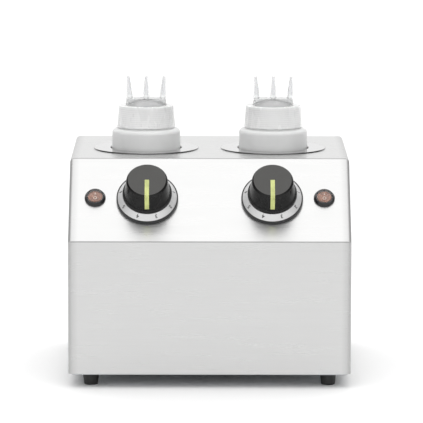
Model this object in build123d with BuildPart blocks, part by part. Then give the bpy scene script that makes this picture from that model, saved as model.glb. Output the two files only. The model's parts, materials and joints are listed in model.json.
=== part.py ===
from build123d import *
import os
from math import atan2, degrees, radians, tan

# A two-well sauce bottle warmer, in millimetres.
# X runs to the right, Y to the rear and Z up. The origin is on the bench, under
# the middle of the whole object, whose depth runs from the casing's front to the
# end of the cable gland.

SIDES = ((-1, "left"), (1, "right"))

# Casing
CASE_WIDTH = 300.0
CASE_DEPTH = 272.0
CASE_HEIGHT = 220.5
FOOT_GAP = 15.0  # bench to the casing's lower edge
PANEL_RISE = 78.5
PANEL_RUN = 78.5
SHEET = 1.0
CASE_EDGE_RADIUS = 5.0
FRONT_FOLD = (0.7, 0.45)  # width and depth of the scored line where the front meets the slope
TOP_FOLD = (0.4, 0.3)  # and where the slope meets the top
RETURN_FLANGE = 14.0
BASE_SHEET = 1.2
PLATE_INSET = 3.0  # base and rear plates stop short of the casing's edges
PLATE_CORNER = 4.0
SEAT_GAP = 0.05  # a piece in the hole that locates it
HOLE_GAP = 0.3  # a screw or tube in a clearance hole

# Feet
FOOT_TOP_RADIUS = 8.75
FOOT_BOTTOM_RADIUS = 7.4
FOOT_SIDE_INSET = 23.5
FOOT_FRONT_INSET = 24.0
FOOT_EDGE = 1.2
FOOT_RECESS_DEPTH = 6.0

# Screws
M4_RADIUS = 2.0
M4_HEAD_RADIUS = 3.6
M4_HEAD_HEIGHT = 2.4
M4_NUT_FLATS = 7.0
M4_NUT_HEIGHT = 3.2
M6_RADIUS = 3.0
M6_NUT_FLATS = 10.0
M6_NUT_HEIGHT = 5.0

# Wells and what surrounds them
WELL_SIDE_MARGIN = 80.5  # casing's side to a well's axis
WELL_SETBACK = 166.0  # casing front to the wells' axes
WELL_RADIUS = 38.6
WELL_DEPTH = 169.0
WELL_LIP_RADIUS = 1.5
WELL_FLOOR_RADIUS = 6.0
CUP_SHEET = 1.2
CUP_FLANGE_WIDTH = 18.9
CUP_STUD_LENGTH = 13.0
HEATER_THICKNESS = 2.5
HEATER_HEIGHT = 50.0
HEATER_RISE = 16.0  # cup's underside to the heater's lower edge
HEATER_SPLIT = 9.0
HEATER_LUG_LENGTH = 11.0
HEATER_LUG_HEIGHT = 18.0
HEATER_LUG_SHEET = 2.0
HEATER_BLOCK = (14.0, 9.0)
HEATER_BLOCK_OFFSET = 22.0
INSULATION_THICKNESS = 12.0
INSULATION_SLOT = 66.0
INSULATION_GAP = 0.5
BRIDGE_SHEET = 2.0
BRIDGE_WIDTH = 44.0
BRIDGE_END_MARGIN = 44.0  # well axis to the bridge's leg
BRIDGE_TOE = 15.0
CUTOUT_RADIUS = 8.0
CUTOUT_CAP_RADIUS = 6.5
CUTOUT_BODY_HEIGHT = 11.0
CUTOUT_OFFSET = 16.0
CUTOUT_TAB = (6.3, 0.8, 8.0)

# Controls on the sloping panel
SWITCH_SIDE_MARGIN = 28.1  # casing's side to a switch's axis
KNOB_TO_SWITCH = 55.5
SKIRT_RADIUS = 32.8
SKIRT_HEIGHT = 3.9
SKIRT_PLATE = 2.0
SKIRT_LIP = 1.4  # skirt's edge to the dial ring
DIAL_WIDTH = 5.2
DIAL_RISE = 5.7
DIAL_SHEET = 0.8
KNOB_RIM_HEIGHT = 2.8
KNOB_RIM_GAP = 0.5
KNOB_RIM_WIDTH = 1.5
KNOB_TAPER = 2.8  # how much narrower the knob is at its shoulder than above its rim
KNOB_FACE_EDGE = 1.8
KNOB_FACE_HEIGHT = 34.9  # panel face to the knob's front face
KNOB_SHOULDER = 1.7
KNOB_WALL = 2.2
KNOB_HUB_RADIUS = 6.5
KNOB_BORE_DEPTH = 18.0
POINTER_WIDTH = 4.5
POINTER_PROUD = 0.3
POINTER_DEPTH = 1.2
POINTER_LOW = 16.0  # panel face to the pointer's lower end
SHAFT_RADIUS = 3.0
SHAFT_FLAT = 1.5  # shaft centre to the flat
SHAFT_TOP = 20.0
BUSH_RADIUS = 4.8
BUSH_HEIGHT = 1.6
THERMOSTAT_BODY = (38.0, 34.0, 26.0)
THERMOSTAT_SCREW_OFFSET = 14.0
THERMOSTAT_TAB_OFFSET = 11.0
SHAFT_ENGAGED = 20.0
BULB_RADIUS = 3.0
BULB_LENGTH = 60.0
CAPILLARY_RADIUS = 1.0

SWITCH_RAISE = 1.8  # switches above the dials' line, along the slope
BEZEL_LEDGE = 1.3  # how far the bezel overlaps the panel
BEZEL_TAPER = 1.6
BEZEL_HEIGHT = 4.3
SWITCH_BARREL_RADIUS = 9.9
SWITCH_WALL = 1.5
SWITCH_DEPTH = 20.0
SWITCH_CAVITY_DEPTH = 8.0
SWITCH_TAB = (4.8, 0.8, 8.0)
SWITCH_TAB_SPACING = 5.5
ROCKER_GAP = 0.7
ROCKER_EDGE_HEIGHT = 4.3
ROCKER_CROWN = 0.9
ROCKER_TILT = 7.0
ROCKER_PIN_RADIUS = 1.2
ROCKER_PIVOT_DEPTH = 1.5
COVER_DOME = 1.4
COVER_SHEET = 0.6
COVER_LIP = 1.0

# Bottles
BOTTLE_GAP = 1.05  # bottle to the well's wall
BOTTLE_TAPER = 0.35
SHOULDER_HEIGHT = 190.0  # bottle's foot to the top of its shoulder
SHOULDER_FILLET = 6.5
BOTTLE_FOOT_FILLET = 5.0
BOTTLE_WALL = 1.2
BOTTLE_PUSH_UP = 4.0
BOTTLE_FOOT_WIDTH = 6.55
SHOULDER_WIDTH = 9.95  # bottle's side to its neck
NECK_WALL = 2.0
COLLAR_WALL = 3.05
COLLAR_TAPER = 1.75
COLLAR_HEIGHT = 23.5
COLLAR_LIFT = 2.0  # bottle shoulder to the collar's lower edge
COLLAR_TOP_WALL = 1.6
COLLAR_LAND = 4.8  # how far the collar's top reaches in over the neck
COLLAR_EDGE = 1.2
COLLAR_BORE_GAP = 1.0
NOZZLE_SEAT_GAP = 0.4
NOZZLE_FLANGE = 1.2
NOZZLE_WALL = 1.1
NOZZLE_DOME = 6.0
WEB_HEIGHT = 8.1
TIP_HEIGHT = 23.0
TIP_BASE_RADIUS = 3.8
TIP_END_RADIUS = 1.67
TIP_BORE_RADIUS = 0.9
TIP_EDGE_MARGIN = 4.2  # nozzle's edge to an outer tip's axis
TIP_SPLAY = 1.3  # how far an outer tip leans out over its height
FIT_GAP = 0.3  # moulded pieces that move past each other

# Electrics
GLAND_SIDE_MARGIN = 50.0
GLAND_RISE = 32.0  # casing's lower edge to the gland's axis
GLAND_WALL = 1.6
GLAND_HEX_LEDGE = 3.0
GLAND_HEX_LENGTH = 5.0
GLAND_NUT_WALL = 2.5
GLAND_NUT_LENGTH = 16.0
GLAND_INNER_LENGTH = 11.0
GLAND_LOCKNUT_LENGTH = 4.0
GLAND_SEAL_WALL = 2.4
GLAND_SEAL_LENGTH = 10.0
CORD_RADIUS = 4.0
TERMINAL_BLOCK = (36.0, 18.0, 17.0)
GLAND_TO_BLOCK = 55.0
TERMINAL_BLOCK_MARGIN = 24.0  # block's middle to the rear edge of the casing
TERMINAL_PITCH = 11.0
BLOCK_TO_EARTH = 87.0
LEAD_RADIUS = 1.1
LEAD_FLOOR = 6.5  # base plate to the middle of the leads laid along it
LEAD_LAYER = 3.5
VENT_LENGTH = 36.0
VENT_WIDTH = 4.0
VENT_PITCH = 9.0
VENT_COUNT = 7

# Places that follow from the sizes above
GLAND_REACH = SHEET + GLAND_HEX_LENGTH + HOLE_GAP + GLAND_NUT_LENGTH
FRONT = -(CASE_DEPTH + GLAND_REACH) / 2
REAR = FRONT + CASE_DEPTH
CASE_MIDDLE = (FRONT + REAR) / 2
TOP = FOOT_GAP + CASE_HEIGHT
WELL_Y = FRONT + WELL_SETBACK
WELL_OFFSET = CASE_WIDTH / 2 - WELL_SIDE_MARGIN
SWITCH_OFFSET = CASE_WIDTH / 2 - SWITCH_SIDE_MARGIN
KNOB_OFFSET = SWITCH_OFFSET - KNOB_TO_SWITCH
CUP_BOTTOM = TOP - WELL_DEPTH
CUP_FLOOR = CUP_BOTTOM + CUP_SHEET
CUP_OUTER = WELL_RADIUS + CUP_SHEET
CUP_FLANGE_RADIUS = WELL_RADIUS + CUP_FLANGE_WIDTH
HEATER_OUTER = CUP_OUTER + SEAT_GAP + HEATER_THICKNESS
INSULATION_INNER = HEATER_OUTER + INSULATION_GAP
BASE_UNDERSIDE = FOOT_GAP - BASE_SHEET
BOTTLE_RADIUS = WELL_RADIUS - BOTTLE_GAP
SHOULDER_RADIUS = BOTTLE_RADIUS - BOTTLE_TAPER
BOTTLE_FOOT_LAND = BOTTLE_RADIUS - BOTTLE_FOOT_WIDTH
NECK_RADIUS = BOTTLE_RADIUS - SHOULDER_WIDTH
COLLAR_BOTTOM_RADIUS = NECK_RADIUS + COLLAR_BORE_GAP + COLLAR_WALL
COLLAR_TOP_RADIUS = COLLAR_BOTTOM_RADIUS - COLLAR_TAPER
COLLAR_MOUTH_RADIUS = NECK_RADIUS - COLLAR_LAND
NOZZLE_SEAT_RADIUS = COLLAR_MOUTH_RADIUS - NOZZLE_SEAT_GAP
TIP_OFFSET = NOZZLE_SEAT_RADIUS - TIP_EDGE_MARGIN
SHOULDER_Z = CUP_FLOOR + SHOULDER_HEIGHT
COLLAR_Z = SHOULDER_Z + COLLAR_LIFT
COLLAR_TOP = COLLAR_Z + COLLAR_HEIGHT
NECK_TOP = COLLAR_TOP - COLLAR_TOP_WALL - NOZZLE_FLANGE - SEAT_GAP
NECK_HEIGHT = NECK_TOP - SHOULDER_Z
DIAL_OUTER_RADIUS = SKIRT_RADIUS - SKIRT_LIP
DIAL_INNER_RADIUS = DIAL_OUTER_RADIUS - DIAL_WIDTH
KNOB_RIM_RADIUS = DIAL_INNER_RADIUS
KNOB_BASE_RADIUS = KNOB_RIM_RADIUS - KNOB_RIM_WIDTH
KNOB_TOP_RADIUS = KNOB_BASE_RADIUS - KNOB_TAPER
KNOB_FACE_RADIUS = KNOB_TOP_RADIUS - KNOB_FACE_EDGE
KNOB_RIM_Z = SKIRT_HEIGHT + DIAL_RISE + KNOB_RIM_GAP
BEZEL_RADIUS = SWITCH_BARREL_RADIUS + BEZEL_LEDGE
BEZEL_TOP_RADIUS = BEZEL_RADIUS - BEZEL_TAPER
SWITCH_CAVITY_RADIUS = SWITCH_BARREL_RADIUS - SWITCH_WALL
ROCKER_RADIUS = SWITCH_CAVITY_RADIUS - ROCKER_GAP
GLAND_X = GLAND_SIDE_MARGIN - CASE_WIDTH / 2
GLAND_Z = FOOT_GAP + GLAND_RISE
GLAND_SEAL_RADIUS = CORD_RADIUS + GLAND_SEAL_WALL
GLAND_THREAD_RADIUS = GLAND_SEAL_RADIUS + GLAND_WALL
GLAND_NUT_RADIUS = GLAND_THREAD_RADIUS + GLAND_NUT_WALL
GLAND_HEX = 2 * (GLAND_THREAD_RADIUS + GLAND_HEX_LEDGE)
TERMINAL_BLOCK_X = GLAND_X + GLAND_TO_BLOCK
EARTH_X = TERMINAL_BLOCK_X + BLOCK_TO_EARTH
PANEL = Plane(
    origin=(0, FRONT + PANEL_RUN / 2, TOP - PANEL_RISE / 2),
    x_dir=(1, 0, 0),
    z_dir=(0, -PANEL_RISE, PANEL_RUN),
)


# --- helpers -----------------------------------------------------------------


def save(builder, name):
    """Label the finished piece and write it."""
    builder.part.label = name
    export_step(builder.part, f"parts/{name}.step")


def on_panel(x, rise=0.0, up=0.0):
    """Plane along the sloping panel, x and up the slope from its middle and rise above its face."""
    origin = PANEL.from_local_coords((x, up, rise))
    return Plane(origin=origin, x_dir=PANEL.x_dir, z_dir=PANEL.z_dir)


def at_switch(side, rise=0.0):
    """Plane along the sloping panel at a switch's axis, rise above the panel's face."""
    return on_panel(side * SWITCH_OFFSET, rise, SWITCH_RAISE)


def section_of(plane):
    """Plane that holds the given plane's X and its normal, for turned profiles."""
    return Plane(origin=plane.origin, x_dir=plane.x_dir, z_dir=plane.x_dir.cross(plane.z_dir))


def upright(x, y, z=0.0):
    """Upright section plane through a vertical axis at x, y."""
    return Plane(origin=(x, y, z), x_dir=(1, 0, 0), z_dir=(0, -1, 0))


def axis_of(section):
    """The axis that a section plane's profile turns about."""
    return Axis(section.origin, section.y_dir)


def outline(plane, points):
    """A closed straight-sided face on a plane."""
    with BuildSketch(plane) as face:
        with BuildLine():
            Polyline(*points, close=True)
        make_face()
    return face.sketch


def side_outline(inset):
    """Side view of the casing, moved in from every face by inset."""
    corner = inset * tan(atan2(PANEL_RISE, PANEL_RUN) / 2)
    upper_corner = inset * tan(atan2(PANEL_RUN, PANEL_RISE) / 2)
    return [
        (FRONT + inset, FOOT_GAP + inset),
        (REAR - inset, FOOT_GAP + inset),
        (REAR - inset, TOP - inset),
        (FRONT + PANEL_RUN + corner, TOP - inset),
        (FRONT + inset, TOP - PANEL_RISE - upper_corner),
    ]


def casing_block(inset):
    """Solid of the casing's outside, moved in by inset, with its side edges rounded."""
    half = CASE_WIDTH / 2 - inset
    with BuildPart() as block:
        with BuildSketch(Plane.YZ):
            with BuildLine():
                Polyline(*side_outline(inset), close=True)
            make_face()
        extrude(amount=half, both=True)
        side_faces = block.faces().filter_by(Axis.X)
        rounded = [
            edge
            for edge in side_faces.edges()
            if edge.center().Z > FOOT_GAP + inset + 0.01 and edge.center().Y < REAR - inset - 0.01
        ]
        fillet(rounded, radius=CASE_EDGE_RADIUS - inset)
    return block.part


def dome_radius(half_width, rise):
    """Radius of the sphere whose cap has this half width and rise."""
    return (half_width**2 + rise**2) / (2 * rise)


def screw(plane, length, head_radius=M4_HEAD_RADIUS):
    """Pan-head screw whose head stands on a plane and whose shank goes down through it."""
    section = section_of(plane)
    profile = [
        (0, -length),
        (M4_RADIUS, -length),
        (M4_RADIUS, 0),
        (head_radius, 0),
        (head_radius, M4_HEAD_HEIGHT * 0.5),
        (head_radius * 0.6, M4_HEAD_HEIGHT),
        (0, M4_HEAD_HEIGHT),
    ]
    with BuildPart(mode=Mode.PRIVATE) as made:
        add(outline(section, profile))
        revolve(axis=axis_of(section))
    return made.part


def nut(plane, flats, height, bore_radius):
    """Hexagon nut standing on a plane."""
    with BuildPart(mode=Mode.PRIVATE) as made:
        with BuildSketch(plane):
            RegularPolygon(radius=flats / 2, side_count=6, major_radius=False)
            Circle(bore_radius + SEAT_GAP, mode=Mode.SUBTRACT)
        extrude(amount=height)
    return made.part


def flipped(plane):
    """The same plane facing the other way."""
    return Plane(origin=plane.origin, x_dir=plane.x_dir, z_dir=-plane.z_dir)


def save_group(solids, name):
    """Write like fasteners together, as separate solids of one node."""
    with BuildPart() as group:
        for solid in solids:
            add(solid)
    save(group, name)


# --- where the fasteners are -------------------------------------------------

FLANGE_LINE = RETURN_FLANGE / 2 + PLATE_INSET / 2
FOOT_SPOTS = {
    "front_left": (FOOT_SIDE_INSET - CASE_WIDTH / 2, FRONT + FOOT_FRONT_INSET),
    "front_right": (CASE_WIDTH / 2 - FOOT_SIDE_INSET, FRONT + FOOT_FRONT_INSET),
    "rear_left": (FOOT_SIDE_INSET - CASE_WIDTH / 2, REAR - FOOT_FRONT_INSET),
    "rear_right": (CASE_WIDTH / 2 - FOOT_SIDE_INSET, REAR - FOOT_FRONT_INSET),
}
BASE_SCREW_SPOTS = [
    (side * (CASE_WIDTH / 2 - FLANGE_LINE), CASE_MIDDLE + end * (CASE_DEPTH / 2 - 3 * FOOT_FRONT_INSET))
    for side, _ in SIDES
    for end in (-1, 1)
]
REAR_SCREW_SPOTS = [
    (side * (CASE_WIDTH / 2 - FLANGE_LINE), z)
    for side, _ in SIDES
    for z in (FOOT_GAP + 3 * FLANGE_LINE, FOOT_GAP + CASE_HEIGHT / 2, TOP - 3 * FLANGE_LINE)
]
BRIDGE_LEG = WELL_OFFSET + BRIDGE_END_MARGIN
BRIDGE_SCREW_SPOTS = [
    (side * (BRIDGE_LEG + BRIDGE_TOE / 2), WELL_Y + end * BRIDGE_WIDTH / 4)
    for side, _ in SIDES
    for end in (-1, 1)
]
THERMOSTAT_SCREW_PLANES = [
    on_panel(side * KNOB_OFFSET + end * THERMOSTAT_SCREW_OFFSET, SKIRT_PLATE)
    for side, _ in SIDES
    for end in (-1, 1)
]
EARTH_SPOT = (EARTH_X, REAR - TERMINAL_BLOCK_MARGIN)


# --- casing ------------------------------------------------------------------


def make_casing_shell():
    inner_half = CASE_WIDTH / 2 - RETURN_FLANGE
    with BuildPart() as shell:
        add(casing_block(0))
        add(casing_block(SHEET), mode=Mode.SUBTRACT)
        with BuildSketch(Plane.XY.offset(FOOT_GAP)):
            with Locations((0, CASE_MIDDLE)):
                Rectangle(2 * inner_half, CASE_DEPTH - 2 * RETURN_FLANGE)
        extrude(amount=SHEET, mode=Mode.SUBTRACT)
        with BuildSketch(Plane.XZ.offset(-REAR)):
            with Locations((0, FOOT_GAP + CASE_HEIGHT / 2)):
                Rectangle(2 * inner_half, CASE_HEIGHT - 2 * RETURN_FLANGE)
        extrude(amount=SHEET, mode=Mode.SUBTRACT)
        with BuildSketch(Plane.XY.offset(TOP)):
            with Locations(*[(side * WELL_OFFSET, WELL_Y) for side, _ in SIDES]):
                Circle(CUP_OUTER + HOLE_GAP)
        extrude(amount=-SHEET, mode=Mode.SUBTRACT)
        with BuildSketch(PANEL):
            for side, _ in SIDES:
                with Locations((side * KNOB_OFFSET, 0)):
                    Circle(BUSH_RADIUS + HOLE_GAP)
                    with Locations((-THERMOSTAT_SCREW_OFFSET, 0), (THERMOSTAT_SCREW_OFFSET, 0)):
                        Circle(M4_RADIUS + HOLE_GAP)
                with Locations((side * SWITCH_OFFSET, SWITCH_RAISE)):
                    Circle(SWITCH_BARREL_RADIUS + SEAT_GAP)
        extrude(amount=-SHEET, mode=Mode.SUBTRACT)
        slope = degrees(atan2(PANEL_RISE, PANEL_RUN))
        with BuildSketch(Plane.YZ):
            with Locations((FRONT, TOP - PANEL_RISE)):
                Rectangle(2 * FRONT_FOLD[1], FRONT_FOLD[0], rotation=(slope - 90) / 2)
            with Locations((FRONT + PANEL_RUN, TOP)):
                Rectangle(2 * TOP_FOLD[1], TOP_FOLD[0], rotation=slope / 2 - 90)
        extrude(amount=CASE_WIDTH / 2, both=True, mode=Mode.SUBTRACT)
        with BuildSketch(Plane.XY.offset(FOOT_GAP)):
            with Locations(*BASE_SCREW_SPOTS):
                Circle(M4_RADIUS + SEAT_GAP)
        extrude(amount=SHEET, mode=Mode.SUBTRACT)
        with BuildSketch(Plane.XZ.offset(-REAR)):
            with Locations(*REAR_SCREW_SPOTS):
                Circle(M4_RADIUS + SEAT_GAP)
        extrude(amount=SHEET, mode=Mode.SUBTRACT)
    save(shell, "casing_shell")


def make_rear_panel():
    with BuildPart() as panel:
        with BuildSketch(Plane.XZ.offset(-REAR)):
            with Locations((0, FOOT_GAP + CASE_HEIGHT / 2)):
                RectangleRounded(
                    CASE_WIDTH - 2 * PLATE_INSET, CASE_HEIGHT - 2 * PLATE_INSET, PLATE_CORNER
                )
            with Locations(*REAR_SCREW_SPOTS):
                Circle(M4_RADIUS + HOLE_GAP, mode=Mode.SUBTRACT)
            with Locations((GLAND_X, GLAND_Z)):
                Circle(GLAND_THREAD_RADIUS + HOLE_GAP, mode=Mode.SUBTRACT)
            for side, _ in SIDES:
                with Locations((side * WELL_OFFSET, TOP - CASE_HEIGHT / 4)):
                    with GridLocations(VENT_PITCH, 0, VENT_COUNT, 1):
                        SlotOverall(VENT_LENGTH, VENT_WIDTH, rotation=90, mode=Mode.SUBTRACT)
        extrude(amount=-SHEET)
    save(panel, "rear_panel")


def make_base_plate():
    with BuildPart() as plate:
        with BuildSketch(Plane.XY.offset(BASE_UNDERSIDE)):
            with Locations((0, CASE_MIDDLE)):
                RectangleRounded(
                    CASE_WIDTH - 2 * PLATE_INSET, CASE_DEPTH - 2 * PLATE_INSET, PLATE_CORNER
                )
            with Locations(*BASE_SCREW_SPOTS, *BRIDGE_SCREW_SPOTS, *FOOT_SPOTS.values(), EARTH_SPOT):
                Circle(M4_RADIUS + HOLE_GAP, mode=Mode.SUBTRACT)
            for end in (-1, 1):
                with Locations((0, WELL_Y + end * (BRIDGE_WIDTH / 2 + VENT_LENGTH))):
                    with GridLocations(VENT_PITCH, 0, VENT_COUNT, 1):
                        SlotOverall(VENT_LENGTH, VENT_WIDTH, rotation=90, mode=Mode.SUBTRACT)
        extrude(amount=BASE_SHEET)
    save(plate, "base_plate")


def make_feet():
    recess_radius = M4_HEAD_RADIUS + 2 * HOLE_GAP
    for name, (x, y) in FOOT_SPOTS.items():
        with BuildPart() as foot:
            with BuildSketch(upright(x, y)) as half:
                with BuildLine():
                    Polyline(
                        (recess_radius, 0),
                        (FOOT_BOTTOM_RADIUS, 0),
                        (FOOT_TOP_RADIUS, BASE_UNDERSIDE),
                        (M4_RADIUS + HOLE_GAP, BASE_UNDERSIDE),
                        (M4_RADIUS + HOLE_GAP, FOOT_RECESS_DEPTH),
                        (recess_radius, FOOT_RECESS_DEPTH),
                        close=True,
                    )
                make_face()
                fillet(half.vertices().sort_by_distance((FOOT_BOTTOM_RADIUS, 0))[0], FOOT_EDGE)
            revolve(axis=axis_of(upright(x, y)))
        save(foot, f"foot_{name}")


def make_casing_fasteners():
    stud = M4_NUT_HEIGHT + 1.5
    foot_screws = []
    foot_nuts = []
    for x, y in FOOT_SPOTS.values():
        head = Plane(origin=(x, y, FOOT_RECESS_DEPTH), z_dir=(0, 0, -1))
        foot_screws.append(screw(head, FOOT_GAP + stud - FOOT_RECESS_DEPTH))
        foot_nuts.append(nut(Plane(origin=(x, y, FOOT_GAP)), M4_NUT_FLATS, M4_NUT_HEIGHT, M4_RADIUS))
    save_group(foot_screws, "foot_screws")
    save_group(foot_nuts, "foot_nuts")
    under = [Plane(origin=(x, y, BASE_UNDERSIDE), z_dir=(0, 0, -1)) for x, y in BASE_SCREW_SPOTS]
    save_group([screw(head, BASE_SHEET + SHEET + stud) for head in under], "base_screws")
    behind = [Plane(origin=(x, REAR + SHEET, z), z_dir=(0, 1, 0)) for x, z in REAR_SCREW_SPOTS]
    save_group([screw(head, 2 * SHEET + stud) for head in behind], "rear_screws")
    under = [Plane(origin=(x, y, BASE_UNDERSIDE), z_dir=(0, 0, -1)) for x, y in BRIDGE_SCREW_SPOTS]
    save_group([screw(head, BASE_SHEET + BRIDGE_SHEET + stud) for head in under], "bridge_screws")


# --- wells and heating -------------------------------------------------------


def make_well_bridge():
    outer_top = CUP_BOTTOM
    inner_top = CUP_BOTTOM - BRIDGE_SHEET
    toe = BRIDGE_LEG + BRIDGE_TOE
    right_half = [
        (BRIDGE_LEG, outer_top),
        (BRIDGE_LEG, FOOT_GAP + BRIDGE_SHEET),
        (toe, FOOT_GAP + BRIDGE_SHEET),
        (toe, FOOT_GAP),
        (BRIDGE_LEG - BRIDGE_SHEET, FOOT_GAP),
        (BRIDGE_LEG - BRIDGE_SHEET, inner_top),
    ]
    left_half = [(-x, z) for x, z in reversed(right_half)]
    with BuildPart() as bridge:
        with BuildSketch(Plane.XZ.offset(-WELL_Y)):
            with BuildLine():
                Polyline(*right_half, *left_half, close=True)
            make_face()
        extrude(amount=BRIDGE_WIDTH / 2, both=True)
        with BuildSketch(Plane.XY.offset(CUP_BOTTOM)):
            for side, _ in SIDES:
                with Locations((side * WELL_OFFSET, WELL_Y)):
                    Circle(M6_RADIUS + HOLE_GAP)
                with Locations((side * (WELL_OFFSET - CUTOUT_OFFSET), WELL_Y)):
                    Circle(CUTOUT_CAP_RADIUS + HOLE_GAP)
        extrude(amount=-BRIDGE_SHEET, mode=Mode.SUBTRACT)
        with BuildSketch(Plane.XY.offset(FOOT_GAP)):
            with Locations(*BRIDGE_SCREW_SPOTS):
                Circle(M4_RADIUS + SEAT_GAP)
        extrude(amount=BRIDGE_SHEET, mode=Mode.SUBTRACT)
    save(bridge, "well_bridge")
    under = [Plane(origin=(side * WELL_OFFSET, WELL_Y, inner_top), z_dir=(0, 0, -1)) for side, _ in SIDES]
    save_group([nut(plane, M6_NUT_FLATS, M6_NUT_HEIGHT, M6_RADIUS) for plane in under], "cup_nuts")


def make_well_cup(side, name):
    section = upright(side * WELL_OFFSET, WELL_Y)
    flange_top = TOP + CUP_SHEET
    with BuildPart() as cup:
        with BuildSketch(section) as half:
            with BuildLine():
                Polyline(
                    (0, CUP_BOTTOM - CUP_STUD_LENGTH),
                    (M6_RADIUS, CUP_BOTTOM - CUP_STUD_LENGTH),
                    (M6_RADIUS, CUP_BOTTOM),
                    (CUP_OUTER, CUP_BOTTOM),
                    (CUP_OUTER, TOP),
                    (CUP_FLANGE_RADIUS, TOP),
                    (CUP_FLANGE_RADIUS, flange_top),
                    (WELL_RADIUS, flange_top),
                    (WELL_RADIUS, CUP_FLOOR),
                    (0, CUP_FLOOR),
                    close=True,
                )
            make_face()
            fillet(half.vertices().sort_by_distance((WELL_RADIUS, flange_top))[0], WELL_LIP_RADIUS)
            fillet(half.vertices().sort_by_distance((WELL_RADIUS, CUP_FLOOR))[0], WELL_FLOOR_RADIUS)
            fillet(
                half.vertices().sort_by_distance((CUP_OUTER, CUP_BOTTOM))[0],
                WELL_FLOOR_RADIUS + CUP_SHEET,
            )
        revolve(axis=axis_of(section))
    save(cup, f"well_cup_{name}")


def make_band_heater(side, name):
    x = side * WELL_OFFSET
    low = CUP_BOTTOM + HEATER_RISE
    middle = low + HEATER_HEIGHT / 2
    front = WELL_Y - HEATER_OUTER
    lug_x = HEATER_SPLIT / 2 + HEATER_LUG_SHEET / 2
    block_x = side * HEATER_BLOCK_OFFSET
    with BuildPart() as heater:
        with BuildSketch(Plane.XY.offset(low)):
            with Locations((x, WELL_Y)):
                Circle(HEATER_OUTER)
                Circle(HEATER_OUTER - HEATER_THICKNESS, mode=Mode.SUBTRACT)
            with Locations((x, front)):
                Rectangle(HEATER_SPLIT, 4 * HEATER_THICKNESS, mode=Mode.SUBTRACT)
        extrude(amount=HEATER_HEIGHT)
        with BuildSketch(Plane.XY.offset(middle - HEATER_LUG_HEIGHT / 2)):
            with Locations((x + block_x, front + HEATER_BLOCK_OFFSET / 4)):
                Rectangle(HEATER_BLOCK[0], HEATER_BLOCK[1])
            with Locations((x - lug_x, front), (x + lug_x, front)):
                Rectangle(HEATER_LUG_SHEET, 2 * HEATER_LUG_LENGTH)
            with Locations((x, WELL_Y)):
                Circle(HEATER_OUTER - HEATER_THICKNESS / 2, mode=Mode.SUBTRACT)
        extrude(amount=HEATER_LUG_HEIGHT)
        with BuildSketch(Plane.YZ.offset(x)):
            with Locations((front - HEATER_LUG_LENGTH / 2, middle)):
                Circle(M4_RADIUS + HOLE_GAP)
        extrude(amount=HEATER_SPLIT, both=True, mode=Mode.SUBTRACT)
    save(heater, f"band_heater_{name}")


def make_insulation(side, name):
    low = CUP_BOTTOM + BRIDGE_SHEET
    with BuildPart() as sleeve:
        with BuildSketch(Plane.XY.offset(low)):
            with Locations((side * WELL_OFFSET, WELL_Y)):
                Circle(INSULATION_INNER + INSULATION_THICKNESS)
                Circle(INSULATION_INNER, mode=Mode.SUBTRACT)
                with Locations((0, -INSULATION_INNER)):
                    Rectangle(INSULATION_SLOT, 1.4 * INSULATION_INNER, mode=Mode.SUBTRACT)
        extrude(amount=TOP - 3 * SHEET - low)
    save(sleeve, f"insulation_{name}")


def make_cutout(side, name):
    x = side * (WELL_OFFSET - CUTOUT_OFFSET)
    seat = CUP_BOTTOM - BRIDGE_SHEET
    with BuildPart() as cutout:
        with BuildSketch(Plane.XY.offset(CUP_BOTTOM)):
            with Locations((x, WELL_Y)):
                Circle(CUTOUT_CAP_RADIUS)
        extrude(amount=-BRIDGE_SHEET)
        with BuildSketch(Plane.XY.offset(seat)):
            with Locations((x, WELL_Y)):
                Circle(CUTOUT_RADIUS)
        extrude(amount=-CUTOUT_BODY_HEIGHT)
        with BuildSketch(Plane.XY.offset(seat - CUTOUT_BODY_HEIGHT)):
            with Locations((x, WELL_Y - CUTOUT_RADIUS / 2), (x, WELL_Y + CUTOUT_RADIUS / 2)):
                Rectangle(CUTOUT_TAB[0], CUTOUT_TAB[1])
        extrude(amount=-CUTOUT_TAB[2])
    save(cutout, f"cutout_{name}")


# --- thermostats, dials and knobs --------------------------------------------


def make_thermostat(side, name):
    x = side * KNOB_OFFSET
    width, height, depth = THERMOSTAT_BODY
    with BuildPart() as body:
        with BuildSketch(on_panel(x, -SHEET)):
            RectangleRounded(width, height, PLATE_CORNER)
        extrude(amount=-depth)
        with BuildSketch(on_panel(x, -SHEET)):
            Circle(BUSH_RADIUS)
        extrude(amount=SHEET + BUSH_HEIGHT)
        with BuildSketch(on_panel(x, -SHEET - depth)):
            for end in (-1, 1):
                with Locations((end * THERMOSTAT_TAB_OFFSET, 0)):
                    Rectangle(CUTOUT_TAB[0], CUTOUT_TAB[1])
        extrude(amount=-CUTOUT_TAB[2])
        with BuildSketch(on_panel(x, BUSH_HEIGHT)):
            Circle(SHAFT_RADIUS + SEAT_GAP)
        extrude(amount=-SHAFT_ENGAGED - BUSH_HEIGHT, mode=Mode.SUBTRACT)
        with BuildSketch(on_panel(x, -SHEET)):
            with Locations((-THERMOSTAT_SCREW_OFFSET, 0), (THERMOSTAT_SCREW_OFFSET, 0)):
                Circle(M4_RADIUS + SEAT_GAP)
        extrude(amount=-2 * M4_NUT_HEIGHT, mode=Mode.SUBTRACT)
    save(body, f"thermostat_{name}")


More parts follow.
